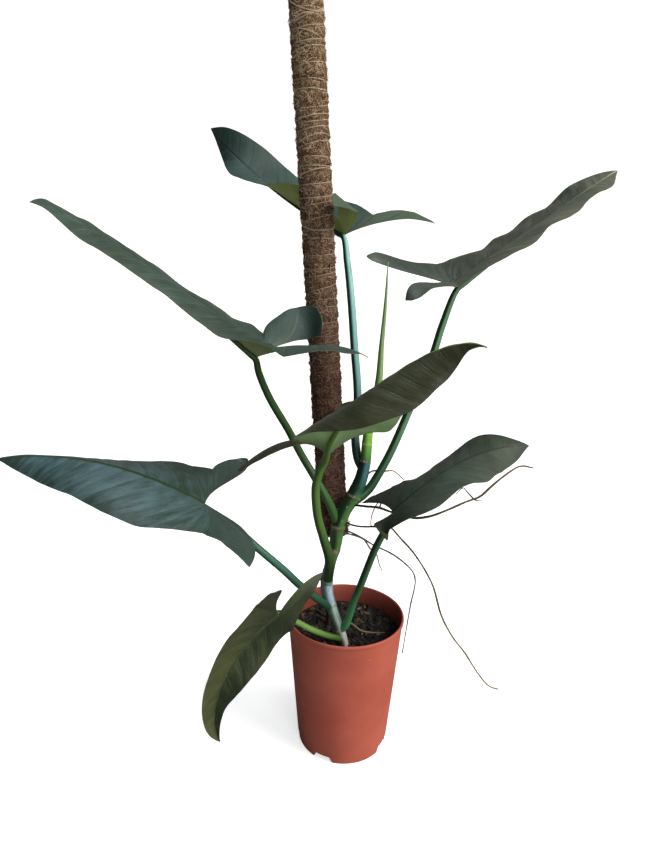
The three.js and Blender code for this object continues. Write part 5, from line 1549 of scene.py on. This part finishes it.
sweep = [(SWEEP_FRONT, 0.0)]
for step in range(BEND_STEPS + 1):
    angle = math.pi / 2 * step / BEND_STEPS
    sweep.append((SWEEP_BACK + SWEEP_BEND * math.sin(angle), SWEEP_BEND * (1 - math.cos(angle))))
sweep.append((SWEEP_BACK + SWEEP_BEND, SWEEP_TOP))
paper_mesh = bpy.data.meshes.new("paper_sweep")
paper_points = [(side * SWEEP_HALF_WIDTH, y, z) for y, z in sweep for side in (-1, 1)]
paper_faces = [(2 * k, 2 * k + 1, 2 * k + 3, 2 * k + 2) for k in range(len(sweep) - 1)]
paper_mesh.from_pydata(paper_points, [], paper_faces)
paper_mesh.polygons.foreach_set("use_smooth", [True] * len(paper_mesh.polygons))
paper_mesh.materials.append(pale_paper())
paper = bpy.data.objects.new("paper_sweep", paper_mesh)
bpy.context.scene.collection.objects.link(paper)

# The room's own light: bright and a little warm on the right, where the window is, dim on the left
world = bpy.data.worlds.new("studio")
bpy.context.scene.world = world
world.use_nodes = True
room = world.node_tree
way = add(room, "ShaderNodeTexCoord").outputs["Generated"]
parts = add(room, "ShaderNodeSeparateXYZ", inputs={"Vector": way})
side_glow = add(room, "ShaderNodeValToRGB", inputs={"Fac": add(room, "ShaderNodeMapRange", inputs={
    "Value": parts.outputs["X"], "From Min": -1.0, "From Max": 1.0}).outputs["Result"]},
    stops=[(0.0, "#242628"), (1.0, "#fbf6ee"), (0.42, "#66696b")])
around = room.nodes["Background"]
room.links.new(side_glow.outputs["Color"], around.inputs["Color"])
around.inputs["Strength"].default_value = 0.75
# Where the paper ends, the camera sees more of the same pale tone
beyond = add(room, "ShaderNodeBackground", inputs={"Color": linear("#fbfaf8"), "Strength": 1.0})
either = add(room, "ShaderNodeMixShader", inputs={
    0: add(room, "ShaderNodeLightPath").outputs["Is Camera Ray"],
    1: around.outputs["Background"], 2: beyond.outputs["Background"]})
room.links.new(either.outputs["Shader"], room.nodes["World Output"].inputs["Surface"])


def studio_light(name, kind, place, target, energy, colour, size):
    light = bpy.data.lights.new(name, kind)
    light.energy = energy
    light.color = linear(colour)[:3]
    if kind == "AREA":
        light.shape = "RECTANGLE"
        light.size, light.size_y = size
    else:
        light.angle = size
    lamp = bpy.data.objects.new(name, light)
    lamp.location = place
    lamp.rotation_euler = (Vector(target) - Vector(place)).to_track_quat("-Z", "Y").to_euler()
    bpy.context.scene.collection.objects.link(lamp)


studio_light("window", "SUN", place=(2.0, -0.9, 1.9), target=(0, 0, 0.35),
             energy=2.6, colour="#fff8ee", size=math.radians(35))
studio_light("front_panel", "AREA", place=(0.7, -2.1, 1.15), target=(0, 0, 0.5),
             energy=22, colour="#e4eef2", size=(1.0, 1.7))
studio_light("ceiling_panel", "AREA", place=(-0.25, -0.25, 2.5), target=(-0.15, -0.05, 0.5),
             energy=20, colour="#dfeaf6", size=(1.3, 1.0))

# The camera stands where the pot's rim and foot look as they do in the picture, and tilts down a little
PHOTO_WIDTH = 645
FOCAL_PIXELS = 646.0
SENSOR_MM = 36.0
CAMERA_PLACE = (-0.039, -0.836, 0.722)
CAMERA_PITCH = math.radians(15.84)
CAMERA_ROLL = math.radians(-1.13)

lens = bpy.data.cameras.new("camera")
lens.sensor_fit = "HORIZONTAL"
lens.sensor_width = SENSOR_MM
lens.lens = SENSOR_MM * FOCAL_PIXELS / PHOTO_WIDTH
lens.clip_start = 0.02
camera = bpy.data.objects.new("camera", lens)
ahead = Vector((0, math.cos(CAMERA_PITCH), -math.sin(CAMERA_PITCH)))
right = Vector((1, 0, 0))
above = Vector((0, math.sin(CAMERA_PITCH), math.cos(CAMERA_PITCH)))
turned_right = math.cos(CAMERA_ROLL) * right - math.sin(CAMERA_ROLL) * above
turned_up = math.sin(CAMERA_ROLL) * right + math.cos(CAMERA_ROLL) * above
turn = Matrix((turned_right, turned_up, -ahead)).transposed()
camera.matrix_world = Matrix.Translation(CAMERA_PLACE) @ turn.to_4x4()
bpy.context.scene.collection.objects.link(camera)
bpy.context.scene.camera = camera
bpy.context.scene.view_settings.view_transform = "Standard"
